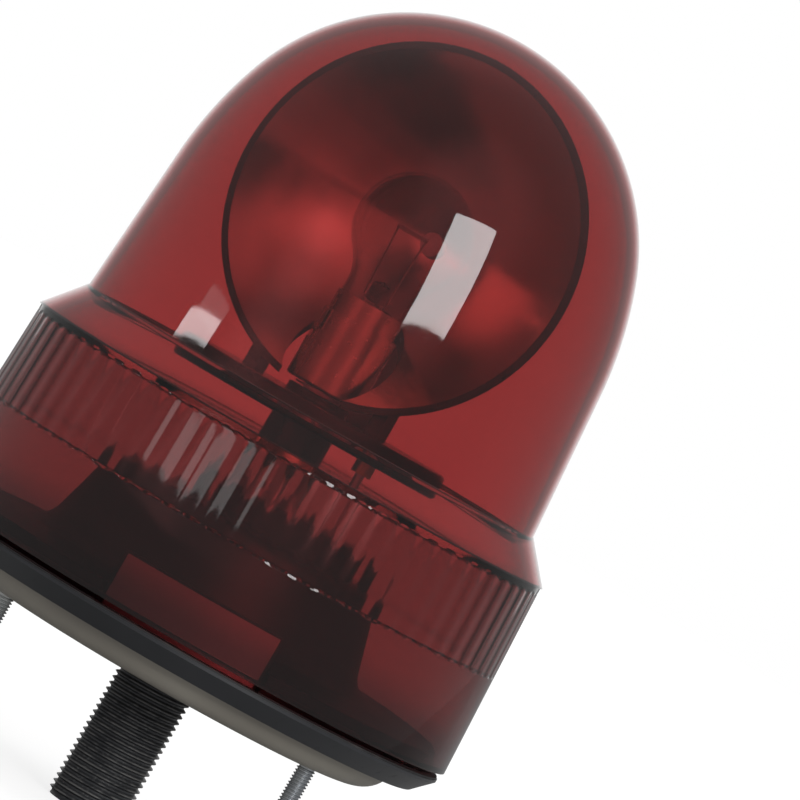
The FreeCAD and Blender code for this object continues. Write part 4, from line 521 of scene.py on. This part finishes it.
# ---- mesh helpers ------------------------
class Outline:
    """Half section drawn edge by edge in the XZ plane, in mm."""

    def __init__(self, bm, x, z):
        self.bm = bm
        self.here = self.first = bm.verts.new((x, 0.0, z))

    def step(self, x, z):
        there = self.bm.verts.new((x, 0.0, z))
        self.bm.edges.new((self.here, there))
        self.here = there

    def line(self, x, z):
        """Straight run; a long one gets a point near each end, which keeps its shading flat."""
        start = self.here.co.copy()
        run = Vector((x, 0.0, z)) - start
        if run.length > LONG_RUN:
            for share in (GUARD / run.length, 1.0 - GUARD / run.length):
                point = start + run * share
                self.step(point.x, point.z)
        self.step(x, z)
        return self

    def arc(self, x, z, turn, steps):
        """Goes on round the centre (x, z); a positive turn runs from +Z towards +X."""
        made = bmesh.ops.spin(self.bm, geom=[self.here], cent=(x, 0.0, z), axis=(0.0, 1.0, 0.0),
                              angle=turn, steps=steps, use_duplicate=False)
        self.here = [item for item in made["geom_last"] if isinstance(item, bmesh.types.BMVert)][0]
        return self

    def along(self, corners, steps=6):
        """Straight runs through (x, z, rounding) corners; the last has no rounding.

        Known fault: the turn takes the sign of -side where side is right, so each rounding
        curls back into the piece and its corner is lost.
        """
        for index, corner in enumerate(corners):
            rounding = corner[2] if len(corner) > 2 else 0.0
            if not rounding:
                self.line(corner[0], corner[1])
                continue
            at = Vector((corner[0], corner[1]))
            before = (Vector((self.here.co.x, self.here.co.z)) - at).normalized()
            after = (Vector(corners[index + 1][:2]) - at).normalized()
            half = before.angle(after) / 2.0
            start = at + before * (rounding / math.tan(half))
            centre = at + (before + after).normalized() * (rounding / math.sin(half))
            side = before.x * after.y - before.y * after.x
            self.line(start.x, start.y)
            self.arc(centre.x, centre.y, math.copysign(math.pi - 2 * half, -side), steps)
        return self

    def close(self):
        self.bm.edges.new((self.here, self.first))
        return self


def turn_round(bm, steps, geom=None):
    """Full turn of the outline about Z, seam and poles closed, faces outwards."""
    bmesh.ops.spin(bm, geom=geom or bm.verts[:] + bm.edges[:], cent=(0, 0, 0), axis=(0, 0, 1),
                   angle=math.tau, steps=steps, use_merge=True)
    bmesh.ops.remove_doubles(bm, verts=bm.verts, dist=1e-4)
    bmesh.ops.dissolve_degenerate(bm, edges=bm.edges, dist=1e-5)
    bmesh.ops.recalc_face_normals(bm, faces=bm.faces)


def put(bm, matrix):
    bmesh.ops.transform(bm, matrix=matrix, verts=bm.verts)


def shade(bm, sharp=SHARP_ANGLE, creased=()):
    """Smooth faces, with sharp edges where they turn hard or lie level at a creased height."""
    for face in bm.faces:
        face.smooth = True
    for edge in bm.edges:
        on_crease = any(all(abs(v.co.z / MM - z) < CREASE_REACH for v in edge.verts)
                        for z in creased)
        edge.smooth = edge.calc_face_angle(0.0) < sharp and not on_crease


def to_object(bm, name, finish, sharp=SHARP_ANGLE, creased=()):
    bmesh.ops.scale(bm, vec=(MM, MM, MM), verts=bm.verts)
    shade(bm, sharp, creased)
    mesh = bpy.data.meshes.new(name)
    bm.to_mesh(mesh)
    bm.free()
    made = bpy.data.objects.new(name, mesh)
    bpy.context.scene.collection.objects.link(made)
    mesh.materials.append(FINISHES[finish]() if isinstance(finish, str) else finish)
    return made


def piece(bm, name, slot, body, *nodes, sharp=SHARP_ANGLE, creased=()):
    """Makes the mesh a finished piece that rides on a body and stands for CAD nodes."""
    made = to_object(bm, name, slot, sharp, creased)
    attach(made, body)
    if nodes:
        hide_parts(*nodes)
    return made


def combined(body, tool, operation):
    """Boolean of two loose objects; the tool goes away and the body keeps the result."""
    step = body.modifiers.new("Join", "BOOLEAN")
    step.operation = operation
    step.solver = "EXACT"
    step.use_self = True
    step.object = tool
    bpy.context.view_layer.update()
    ready = body.evaluated_get(bpy.context.evaluated_depsgraph_get())
    mesh = bpy.data.meshes.new_from_object(ready)
    if not mesh.polygons:
        raise RuntimeError(body.name + " vanished when " + tool.name + " was applied")
    body.modifiers.clear()
    body.data = mesh
    bpy.data.objects.remove(tool)
    return body


def flat_z(radius, low, high, segments=64, centre=(0.0, 0.0)):
    bm = bmesh.new()
    bmesh.ops.create_cone(bm, cap_ends=True, segments=segments, radius1=radius, radius2=radius,
                          depth=high - low)
    put(bm, Matrix.Translation((centre[0], centre[1], (high + low) / 2.0)))
    return bm


def block(size, centre):
    bm = bmesh.new()
    bmesh.ops.create_cube(bm, size=1.0)
    bmesh.ops.scale(bm, vec=size, verts=bm.verts)
    put(bm, Matrix.Translation(centre))
    return bm


# ---- globe -------------------------------
def globe_outline(bm, g):
    lean = g.draft
    dome_foot = Vector((g.foot_radius - g.taper - g.step_width, g.shoulder + g.step_height))
    line = dome_foot.x * math.cos(lean) + dome_foot.y * math.sin(lean)
    crown = (line - g.height * math.sin(lean) - g.crown_ease) / (1.0 - math.sin(lean))
    crown_z = g.height - crown
    reach = g.flank_radius - crown
    spread = math.acos((g.flank_radius - line + crown_z * math.sin(lean)) / reach)
    join = lean + spread
    flank = Vector((-reach * math.cos(join), crown_z - reach * math.sin(join)))
    slope = math.atan2(g.step_height, g.step_width)
    skirt = math.atan2(g.taper, g.shoulder - g.foot)

    def inner(x, z, above, below):
        first = Vector((math.cos(above), math.sin(above)))
        second = Vector((math.cos(below), math.sin(below)))
        return Vector((x, z)) - (first + second).normalized() * (
            g.wall / math.cos(first.angle(second) / 2.0))

    shoulder = (g.foot_radius - g.taper, g.shoulder)
    inner_foot = inner(*dome_foot, lean, math.pi / 2 - slope)
    inner_shoulder = inner(*shoulder, math.pi / 2 - slope, skirt)
    inner_join = flank + Vector((math.cos(lean), math.sin(lean))) * (g.flank_radius - g.wall)
    foot_inside = g.foot_radius - g.wall
    draw = Outline(bm, 0.0, g.height)
    draw.arc(0.0, crown_z, math.pi / 2 - join, 40).arc(flank.x, flank.y, join - lean, 12)
    draw.along([(*dome_foot, 0.7), (*shoulder, 0.9), (g.foot_radius, g.foot, 1.0),
                (foot_inside, g.foot)])
    rib_foot = g.rib_top - g.rib_length
    run = (inner_shoulder.x - foot_inside) / (inner_shoulder.y - g.foot)
    for z in (rib_foot - 2.2, rib_foot - g.rib_end, rib_foot, g.rib_top, g.rib_top + 0.3):
        draw.line(foot_inside + run * (z - g.foot), z)
    draw.along([(*inner_shoulder, 0.4), (*inner_foot, 0.5), tuple(inner_join)], steps=4)
    draw.arc(flank.x, flank.y, lean - join, 12).arc(0.0, crown_z, join - math.pi / 2, 40)
    return foot_inside, run


def build_globe(g):
    bm = bmesh.new()
    foot_inside, run = globe_outline(bm, g)
    steps = g.ribs * RIB_STEPS
    turn_round(bm, steps)
    shoulder_inside = foot_inside + run * (g.rib_top - g.foot)
    tip = shoulder_inside - g.rib_height
    for z in (g.rib_top - g.rib_length, g.rib_top):
        wall = foot_inside + run * (z - g.foot)
        for share, offsets in ((1.0, (0,)), (0.75, (1, 5)), (0.25, (2, 4))):
            reach = wall + (tip - wall) * share
            chosen = [v for v in bm.verts if abs(v.co.z - z) < 1e-3
                      and abs(v.co.xy.length - wall) < 1e-2
                      and round(math.atan2(v.co.y, v.co.x) / math.tau * steps) % RIB_STEPS in offsets]
            bmesh.ops.scale(bm, vec=(reach / wall, reach / wall, 1.0), verts=chosen)
    bmesh.ops.recalc_face_normals(bm, faces=bm.faces)
    rib_ends = (g.rib_top - g.rib_length - g.rib_end, g.rib_top + 0.3)
    piece(bm, "globe_shell", "red_globe", "globe", "globe", sharp=math.radians(28),
          creased=rib_ends)


# ---- mirror ------------------------------
LIP_DEPTH = 1.2
BACK_INSET = 1.6               # back of the bowl inside the lip's inner edge
BOSS_RADIUS, BOSS_HEIGHT, BOSS_ROOT = 5.0, 1.2, 0.5
FOOT_OFFSET, FOOT_WIDTH, FOOT_DEPTH = 15.0, 3.0, 6.0
FOOT_SET_BACK = 3.0            # behind the bowl's rim
FOOT_TOP_DROP = 22.0           # below the bowl's axis
NOTCH_RADIUS, NOTCH_TOP_Z = 10.6, 90.0
HOLE_RADIUS, HOLE_FOOT, HOLE_TOP = 1.55, -6.0, 12.0
CUT_PAST = 5.0                 # how far the notch's cutter reaches below the turntable
CUTTER_GAP = 0.02              # between the bowl's face and the shape that clears its inside
CUTTER_REACH = 30.0            # of that shape past the rim
FACE_REACH = 0.08              # how near a face lies to the paraboloid to be mirror


def bowl_place(m):
    """From a bowl that opens to +Z about its own vertex to its place on the turntable."""
    place = Matrix.Translation((0.0, m.focal_length, m.centre))
    return Matrix.Rotation(m.turn, 4, "Z") @ place @ Matrix.Rotation(math.radians(90), 4, "X")


def parabola(draw, start, end, focal, rise, steps=32):
    """Runs along a paraboloid's section from one radius to another."""
    for number in range(1, steps + 1):
        x = start + (end - start) * number / steps
        draw.line(x, x * x / (4 * focal) - rise)


def build_mirror(m):
    focal = m.focal_length
    depth = m.radius ** 2 / (4 * focal)
    edge = m.radius + m.lip
    behind = math.sqrt(4 * focal * (depth + m.wall)) - BACK_INSET
    place = bowl_place(m)
    bm = bmesh.new()
    draw = Outline(bm, 0.0, 0.0)
    parabola(draw, 0.0, m.radius, focal, 0.0)
    lip_back = depth - LIP_DEPTH
    draw.along([(edge, depth, 0.3), (edge, lip_back, 0.3), (behind, lip_back)], steps=3)
    parabola(draw, behind, 0.0, focal, m.wall)
    turn_round(bm, 160)
    put(bm, place)
    bowl = to_object(bm, "reflector_bowl", "mirror")
    added = flat_z(BOSS_RADIUS, -m.wall - BOSS_HEIGHT, -BOSS_ROOT, 48)
    put(added, place)
    foot_top = m.centre - FOOT_TOP_DROP
    foot_y = focal - depth + (FOOT_SET_BACK + FOOT_DEPTH / 2.0)
    for side in (-1, 1):
        foot = block((FOOT_WIDTH, FOOT_DEPTH, foot_top - TABLE_Z),
                     (side * FOOT_OFFSET, foot_y, (foot_top + TABLE_Z) / 2.0))
        put(foot, Matrix.Rotation(m.turn, 4, "Z"))
        merge_into(added, foot)
    combined(bowl, to_object(added, "added", "mirror"), "UNION")
    taken = bmesh.new()
    draw = Outline(taken, 0.0, CUTTER_GAP)
    mouth = m.radius - CUTTER_GAP
    parabola(draw, 0.0, mouth, focal, -CUTTER_GAP)
    draw.line(mouth, depth + CUTTER_REACH).line(0.0, depth + CUTTER_REACH)
    turn_round(taken, 160)
    put(taken, place)
    combined(bowl, to_object(taken, "taken", "mirror"), "DIFFERENCE")
    notch = flat_z(NOTCH_RADIUS, TABLE_Z - CUT_PAST, NOTCH_TOP_Z, 96)
    hole = flat_z(HOLE_RADIUS, HOLE_FOOT, HOLE_TOP, 32)
    put(hole, place)
    merge_into(notch, hole)
    combined(bowl, to_object(notch, "notch", "mirror"), "DIFFERENCE")
    bowl.data.materials.append(FINISHES["gloss_black"]())
    bm = bmesh.new()
    bm.from_mesh(bowl.data)
    bmesh.ops.remove_doubles(bm, verts=bm.verts, dist=1e-7)
    shade(bm, math.radians(25))
    back = place.inverted()
    for face in bm.faces:
        local = back @ (face.calc_center_median() / MM)
        radius = local.xy.length
        off_bowl = abs(local.z - radius ** 2 / (4 * focal))
        on_bowl = off_bowl < FACE_REACH and radius < m.radius
        face.material_index = 0 if on_bowl else 1
    bm.to_mesh(bowl.data)
    bm.free()
    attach(bowl, "mirror_turntable")
    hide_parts("reflector")


# ---- lamp --------------------------------
def build_bulb(s):
    """Glass ball that narrows through a hollow curve into its neck."""
    rise = s.centre - s.neck
    hollow = (s.neck_radius ** 2 + rise ** 2 - s.radius ** 2) / (2 * (s.radius - s.neck_radius))
    centre_x = s.neck_radius + hollow
    bend = math.pi / 2 - math.atan2(centre_x, rise)
    bm = bmesh.new()
    draw = Outline(bm, s.neck_radius, s.foot).line(s.neck_radius, s.neck)
    draw.arc(centre_x, s.neck, bend, 10).arc(0.0, s.centre, -math.pi / 2 - bend, 36)
    draw.line(0.0, s.centre + s.radius - s.wall)
    draw.arc(0.0, s.centre, math.pi / 2 + bend, 36).arc(centre_x, s.neck, -bend, 10)
    draw.line(s.neck_radius - s.wall, s.foot).close()
    turn_round(bm, 128)
    piece(bm, "bulb_glass", "clear_glass", "lamp", "lamp_bulb")


def rod_between(bm, start, end, radius, segments=12):
    """Round rod from one point to another."""
    run = Vector(end) - Vector(start)
    turn = run.to_track_quat("Z", "Y").to_matrix().to_4x4()
    bmesh.ops.create_cone(bm, cap_ends=True, segments=segments, radius1=radius, radius2=radius,
                          depth=run.length,
                          matrix=Matrix.Translation((Vector(start) + Vector(end)) / 2.0) @ turn)


def build_filament(s):
    """Coiled wire hung between two support wires and crimped to them."""
    half, coil_radius, wire = 3.2, 0.5, 0.085
    foot_x, foot_drop, bend_x, bend_drop, support = 2.6, 15.0, 2.9, 5.0, 0.22
    crimp_half, crimp_radius = 0.3, 0.5
    bm = bmesh.new()
    ring = bmesh.ops.create_circle(bm, segments=8, radius=wire,
                                   matrix=Matrix.Translation((0, coil_radius, -half))
                                   @ Matrix.Rotation(math.radians(90), 4, "Y"))
    steps = s.coil_turns * 16
    bmesh.ops.spin(bm, geom=ring["verts"] + bm.edges[:], cent=(0, 0, 0), axis=(0, 0, 1),
                   dvec=(0, 0, 2 * half / steps), angle=math.tau * s.coil_turns, steps=steps)
    bmesh.ops.holes_fill(bm, edges=[e for e in bm.edges if e.is_boundary])
    put(bm, Matrix.Translation((0, 0, s.centre)) @ Matrix.Rotation(math.radians(90), 4, "Y"))
    for side in (-1, 1):
        foot = (side * foot_x, 0.0, s.centre - foot_drop)
        bend = (side * bend_x, 0.0, s.centre - bend_drop)
        rod_between(bm, foot, bend, support)
        rod_between(bm, bend, (side * half, 0.0, s.centre), support)
        rod_between(bm, (side * (half - crimp_half), 0.0, s.centre),
                    (side * (half + crimp_half), 0.0, s.centre), crimp_radius)
    bmesh.ops.recalc_face_normals(bm, faces=bm.faces)
    piece(bm, "filament_coil", "tungsten", "lamp", "lamp_filament")


# ---- threads -----------------------------
ROOT_HALF, CREST_HALF = 0.12, 0.06     # half widths of the thread's flats, in pitches
RUN_OUT = 0.06                 # mm of thread left at its very ends
STEM_NECK_RADIUS = 8.0
STUD_ANGLES = (-30.0, 90.0, 210.0)
STUD_RADIUS, STUD_NECK_RADIUS = 2.0, 1.75
SCREW_ANGLES = (30.0, 150.0, 270.0)
SCREW_RADIUS, HEAD_RADIUS, HEAD_HEIGHT = 1.5, 2.7, 1.6
HEAD_CROWN_RADIUS, HEAD_CROWN, HEAD_SIDE = 1.9, 0.12, 0.9
CROSS_LENGTH, CROSS_WIDTH, CROSS_BLOCK, CROSS_LIFT = 2.9, 0.62, 2.0, 0.1


def threaded_rod(bm, radius, depth, pitch, low, high, steps, bore=0.0):
    """Helical thread between two heights, closed by flat ends.

    Known fault: a bore comes out as a closed cylinder inside the rod, with both of its ends
    covered, and not as an open hole.
    """
    draw = Outline(bm, radius - depth, low - pitch)
    draw.line(radius - depth, low - (1.0 - ROOT_HALF) * pitch)
    draw.line(radius, low - (0.5 + CREST_HALF) * pitch)
    draw.line(radius, low - (0.5 - CREST_HALF) * pitch)
    draw.line(radius - depth, low - ROOT_HALF * pitch)
    draw.line(radius - depth, low)
    turns = math.ceil((high - low) / pitch) + 1
    bmesh.ops.spin(bm, geom=bm.verts[:] + bm.edges[:], cent=(0, 0, 0), axis=(0, 0, 1),
                   dvec=(0, 0, pitch / steps), angle=math.tau * turns, steps=steps * turns)
    bmesh.ops.remove_doubles(bm, verts=bm.verts, dist=1e-3)
    for height, side in ((low, -1), (high, 1)):
        bmesh.ops.bisect_plane(bm, geom=bm.verts[:] + bm.edges[:] + bm.faces[:],
                               plane_co=(0, 0, height), plane_no=(0, 0, side), clear_outer=True)
    for vertex in bm.verts:
        room = min(vertex.co.z - low, high - vertex.co.z)
        allowed = radius - depth + RUN_OUT + max(room, 0.0)
        here = vertex.co.xy.length
        if here > allowed:
            vertex.co.xy *= allowed / here
    ends = []
    for height in (low, high):
        rim = [e for e in bm.edges if e.is_boundary
               and all(abs(v.co.z - height) < 1e-4 for v in e.verts)]
        if bore:
            ring = bmesh.ops.create_circle(bm, segments=steps, radius=bore,
                                           matrix=Matrix.Translation((0, 0, height)))
            inside = list({e for v in ring["verts"] for e in v.link_edges})
            bmesh.ops.bridge_loops(bm, edges=rim + inside)
            ends.append(inside)
        else:
            bmesh.ops.triangle_fill(bm, edges=rim, use_beauty=True)
    if bore:
        bmesh.ops.bridge_loops(bm, edges=ends[0] + ends[1])
    bmesh.ops.recalc_face_normals(bm, faces=bm.faces)


def build_stem(t):
    bm = bmesh.new()
    threaded_rod(bm, STEM_HIGH.x, t.stem_depth, t.stem_pitch, STEM_LOW.z, -t.relief, 64,
                 t.stem_bore)
    neck = bmesh.new()
    root, bore, foot = STEM_NECK_RADIUS, t.stem_bore, -t.relief
    Outline(neck, bore, foot).along([(root, foot), (root, STEM_HIGH.z, 0.4),
                                     (bore, STEM_HIGH.z)]).close()
    turn_round(neck, 64)
    merge_into(bm, neck)
    piece(bm, "threaded_stem", "stem_black", "base", "cable_stem", sharp=math.radians(24))


def merge_into(bm, other):
    mesh = bpy.data.meshes.new("part")
    other.to_mesh(mesh)
    other.free()
    bm.from_mesh(mesh)
    bpy.data.meshes.remove(mesh)


def circle_place(radius, degrees):
    turn = math.radians(degrees)
    return Vector((radius * math.cos(turn), radius * math.sin(turn), 0.0))


def build_studs(t):
    whole = bmesh.new()
    for place in STUD_ANGLES:
        bm = bmesh.new()
        threaded_rod(bm, STUD_RADIUS, t.stud_depth, t.stud_pitch, STUD_LOW.z, -t.relief, 32)
        merge_into(bm, flat_z(STUD_NECK_RADIUS, -t.relief, STUD_HIGH.z, 32))
        put(bm, Matrix.Translation(circle_place(t.circle, place)))
        merge_into(whole, bm)
    piece(whole, "threaded_studs", "zinc_steel", "base", "mounting_studs", sharp=math.radians(24))


def build_cover_screws(t):
    """Pan-head screws with a cross recess, seated in the cover's counterbores."""
    whole = bmesh.new()
    for place in SCREW_ANGLES:
        bm = bmesh.new()
        low, seat = SCREW_LOW.z, SCREW_LOW.z + HEAD_HEIGHT
        Outline(bm, 0.0, low).along([(HEAD_CROWN_RADIUS, low + HEAD_CROWN),
                                     (HEAD_RADIUS, low + HEAD_SIDE, 0.5),
                                     (HEAD_RADIUS, seat, 0.1), (SCREW_RADIUS, seat),
                                     (SCREW_RADIUS, SCREW_HIGH.z, 0.3),
                                     (0.0, SCREW_HIGH.z)], steps=4)
        turn_round(bm, 40)
        recess = bmesh.new()
        for size in ((CROSS_LENGTH, CROSS_WIDTH, CROSS_BLOCK),
                     (CROSS_WIDTH, CROSS_LENGTH, CROSS_BLOCK)):
            merge_into(recess, block(size, (0.0, 0.0, low - CROSS_LIFT)))
        put(recess, Matrix.Rotation(math.radians(place), 4, "Z"))
        head = combined(to_object(bm, "head", "zinc_steel"),
                        to_object(recess, "recess", "zinc_steel"), "DIFFERENCE")
        cut = bmesh.new()
        cut.from_mesh(head.data)
        bmesh.ops.scale(cut, vec=(1 / MM, 1 / MM, 1 / MM), verts=cut.verts)
        put(cut, Matrix.Translation(circle_place(t.circle, place)))
        merge_into(whole, cut)
        bpy.data.objects.remove(head)
    piece(whole, "cross_screws", "zinc_steel", "base", "cover_screws")


# ---- CAD pieces that keep their shape ----
def squeeze_spring():
    """Gives the contact's spring a mesh of its own; the lamp's travel is worked out, but the spring is not
    shortened by it.
    """
    low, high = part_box("contact_spring")
    push = next(joint for joint in frame["joints"] if joint["name"] == "lamp_push")
    travel = -push["range_m"][0]
    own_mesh(frame["nodes"]["contact_spring"], "lamp_push", (0, 0, 1), (0, 0, low.z),
              keep=1 - travel / (high.z - low.z))


def finish_nodes(*slots):
    """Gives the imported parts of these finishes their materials."""
    for part in frame["record"]["subparts"]:
        if part["material_slot"] in slots:
            mesh = frame["nodes"][part["node"]].data
            mesh.materials.clear()
            mesh.materials.append(FINISHES[part["material_slot"]]())


# ---- stage -------------------------------
def away_from_beacon(azimuth, elevation):
    """Direction from the beacon; azimuth in degrees from the front towards +X."""
    a, e = math.radians(azimuth), math.radians(elevation)
    return Vector((math.sin(a) * math.cos(e), -math.cos(a) * math.cos(e), math.sin(e)))


def area_light(name, azimuth, elevation, size, radiance, aim, distance=1.5, roll=0.0):
    away = away_from_beacon(azimuth, elevation)
    lamp = bpy.data.lights.new(name, "AREA")
    lamp.shape = "RECTANGLE"
    lamp.size, lamp.size_y = size
    lamp.energy = radiance * math.pi * size[0] * size[1]
    made = bpy.data.objects.new(name, lamp)
    bpy.context.scene.collection.objects.link(made)
    made.rotation_mode = "QUATERNION"
    turn = Matrix.Rotation(math.radians(roll), 4, "Z").to_quaternion()
    made.rotation_quaternion = away.to_track_quat("Z", "Y") @ turn
    made.location = aim + away * distance
    made.visible_camera = False
    return made


def build_floor(s):
    """Pale floor that takes the shadow and looks white to the eye and through the globe."""
    bm = bmesh.new()
    bmesh.ops.create_circle(bm, cap_ends=True, segments=96, radius=4000.0,
                            matrix=Matrix.Translation((0, 0, STEM_LOW.z)))
    paint = bpy.data.materials.new("floor")
    paint.use_nodes = True
    p = Paint(paint.node_tree)
    tone = p.mix(p.noise(3.0, 2.0).ramp(0.3, 0.7), tuple(Vector(s.floor) * 0.98), tuple(s.floor))
    lit = p.surface(Base_Color=tone, Roughness=0.9)
    glow = p.node("ShaderNodeEmission", {}, {"Color": (1, 1, 1), "Strength": s.floor_glow})
    both = p.node("ShaderNodeAddShader", {}, {0: lit, 1: glow})
    p.finish(p.node("ShaderNodeMixShader", {}, {0: p.seen_direct(), 1: lit, 2: both}))
    to_object(bm, "floor", paint)


def build_room(s):
    """White backdrop behind the beacon; the mirror sees three glows and two dim places."""
    world = bpy.data.worlds.new("studio")
    bpy.context.scene.world = world
    world.use_nodes = True
    p = Paint(world.node_tree)
    through, mirrored, matt = (p.node("ShaderNodeLightPath", {}, {}, output) for output
                               in ("Is Transmission Ray", "Glossy Depth", "Is Diffuse Ray"))
    direction = p.node("ShaderNodeTexCoord", {}, {}, "Generated")
    behind = p.node("ShaderNodeSeparateXYZ", {}, {0: direction}, 1).ramp(0.88, 1.0)
    above = p.node("ShaderNodeSeparateXYZ", {}, {0: direction}, 2).ramp(0.2, 0.95)
    glows = p.towards(direction, -39.0, 0.0, 3.0, 19.0) * s.right_glow \
        + p.towards(direction, 29.0, 42.0, 4.0, 36.0) * s.left_glow \
        + p.towards(direction, -6.0, 8.0, 12.0, 48.0) * s.inner_glow
    dimmed = p.towards(direction, -26.0, 27.0, 8.0, 22.0) * s.inner_glow \
        + p.towards(direction, 58.0, 0.0, 12.0, 36.0) * (s.inner_room * 0.7)
    inner = through * mirrored.clamp()
    front = (above * (s.ceiling - s.room) + s.room) * (1 - inner) \
        + (glows + s.inner_room - dimmed) * inner
    gloss = front * (1 - behind) + behind
    brightness = matt * s.fill + (1 - matt) * gloss
    seen = p.seen_direct()
    p.finish(p.node("ShaderNodeBackground", {},
                    {"Color": (1, 1, 1), "Strength": seen + (1 - seen) * brightness}),
             "ShaderNodeOutputWorld")


def build_stage(s):
    scene = bpy.context.scene
    scene.view_settings.view_transform = "Standard"
    build_floor(s)
    build_room(s)
    aim = Vector((0.0, 0.0, 0.095))
    window = area_light("tall_window", 26.5, 20.0, (0.555, 0.66), s.window, aim, roll=-0.7)
    window.visible_transmission = False
    low = area_light("low_strip", -26.0, 0.45, (0.60, 0.030), s.low_strip, aim)
    low.visible_transmission = False
    area_light("side_lamp", -65.0, 4.74, (0.46, 0.013), s.side, aim, roll=2.6)
    area_light("side_glow", -63.0, 5.15, (0.38, 0.014), s.side * 0.12, aim, roll=1.6)

    camera = bpy.data.cameras.new("camera")
    camera.lens = s.focal
    camera.sensor_width = 36.0
    camera.clip_start, camera.clip_end = 0.1, 30.0
    eye = Vector((0.0, -1.330, 0.091))
    target = Vector((0.0145, 0.0, 0.0721))
    made = bpy.data.objects.new("camera", camera)
    scene.collection.objects.link(made)
    made.rotation_mode = "QUATERNION"
    lean = Matrix.Rotation(s.lean, 4, "Z").to_quaternion()
    made.rotation_quaternion = (target - eye).to_track_quat("-Z", "Y") @ lean
    made.location = eye
    scene.camera = made


# ---- operators ---------------------------
class BEACON_OT_stage(bpy.types.Operator):
    """Lay the floor, hang the lights and set up the camera"""
    bl_idname = "beacon.stage"
    bl_label = "Stage"

    def execute(self, context):
        build_stage(settings("beacon_studio"))
        return {"FINISHED"}


class BEACON_OT_mouldings(bpy.types.Operator):
    """Finish the moulded plastic and rubber parts"""
    bl_idname = "beacon.mouldings"
    bl_label = "Mouldings"

    def execute(self, context):
        finish_nodes("black_moulding", "gloss_black", "grey_moulding", "stem_black", "rubber",
                     "phenolic", "wire_sleeve", "blank_plate")
        return {"FINISHED"}


class BEACON_OT_metals(bpy.types.Operator):
    """Finish the plated, turned and drawn metal parts"""
    bl_idname = "beacon.metals"
    bl_label = "Metals"

    def execute(self, context):
        finish_nodes("zinc_steel", "nickel_brass", "brass", "tungsten", "solder", "magnet", "mirror")
        squeeze_spring()
        return {"FINISHED"}


class BEACON_OT_glass(bpy.types.Operator):
    """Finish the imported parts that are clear"""
    bl_idname = "beacon.glass"
    bl_label = "Glass"

    def execute(self, context):
        finish_nodes("clear_glass", "red_globe")
        return {"FINISHED"}


class BEACON_OT_globe(bpy.types.Operator):
    """Spin the ribbed red globe"""
    bl_idname = "beacon.globe"
    bl_label = "Globe"

    def execute(self, context):
        build_globe(settings("beacon_globe"))
        return {"FINISHED"}


class BEACON_OT_mirror(bpy.types.Operator):
    """Form the parabolic mirror and its feet"""
    bl_idname = "beacon.mirror"
    bl_label = "Mirror"

    def execute(self, context):
        build_mirror(settings("beacon_mirror"))
        return {"FINISHED"}


class BEACON_OT_bulb(bpy.types.Operator):
    """Blow the lamp's glass"""
    bl_idname = "beacon.bulb"
    bl_label = "Bulb"

    def execute(self, context):
        build_bulb(settings("beacon_lamp"))
        return {"FINISHED"}


class BEACON_OT_filament(bpy.types.Operator):
    """Wind the filament on its support wires"""
    bl_idname = "beacon.filament"
    bl_label = "Filament"

    def execute(self, context):
        build_filament(settings("beacon_lamp"))
        return {"FINISHED"}


class BEACON_OT_stem(bpy.types.Operator):
    """Cut the threaded stem"""
    bl_idname = "beacon.stem"
    bl_label = "Stem"

    def execute(self, context):
        build_stem(settings("beacon_thread"))
        return {"FINISHED"}


class BEACON_OT_studs(bpy.types.Operator):
    """Cut the threaded studs"""
    bl_idname = "beacon.studs"
    bl_label = "Studs"

    def execute(self, context):
        build_studs(settings("beacon_thread"))
        return {"FINISHED"}


class BEACON_OT_cover_screws(bpy.types.Operator):
    """Make the cross-headed cover screws"""
    bl_idname = "beacon.cover_screws"
    bl_label = "Cover screws"

    def execute(self, context):
        build_cover_screws(settings("beacon_thread"))
        return {"FINISHED"}


OPERATORS = [
    BEACON_OT_stage, BEACON_OT_mouldings, BEACON_OT_metals, BEACON_OT_glass, BEACON_OT_globe,
    BEACON_OT_mirror, BEACON_OT_bulb, BEACON_OT_filament, BEACON_OT_stem, BEACON_OT_studs,
    BEACON_OT_cover_screws,
]
GROUPS = {"beacon_globe": BeaconGlobeSettings, "beacon_mirror": BeaconMirrorSettings,
          "beacon_lamp": BeaconLampSettings, "beacon_thread": BeaconThreadSettings,
          "beacon_studio": BeaconStudioSettings}


class BEACON_PT_build(bpy.types.Panel):
    """Lists the beacon's pieces and their sizes."""
    bl_label = "Rotating Beacon"
    bl_idname = "BEACON_PT_build"
    bl_space_type = "VIEW_3D"
    bl_region_type = "UI"
    bl_category = "Beacon"

    def draw(self, context):
        for made in OPERATORS:
            self.layout.operator(made.bl_idname)
        for name in GROUPS:
            box = self.layout.box()
            for prop in GROUPS[name].__annotations__:
                box.prop(getattr(context.scene, name), prop)


def register():
    for name, kind in GROUPS.items():
        bpy.utils.register_class(kind)
        setattr(bpy.types.Scene, name, PointerProperty(type=kind))
    for kind in OPERATORS + [BEACON_PT_build]:
        bpy.utils.register_class(kind)


def unregister():
    for kind in [BEACON_PT_build] + OPERATORS[::-1]:
        bpy.utils.unregister_class(kind)
    for name, kind in GROUPS.items():
        delattr(bpy.types.Scene, name)
        bpy.utils.unregister_class(kind)


def main():
    register()
    for made in OPERATORS:
        getattr(bpy.ops.beacon, made.bl_idname.split(".")[1])()


if __name__ == "__main__":
    main()
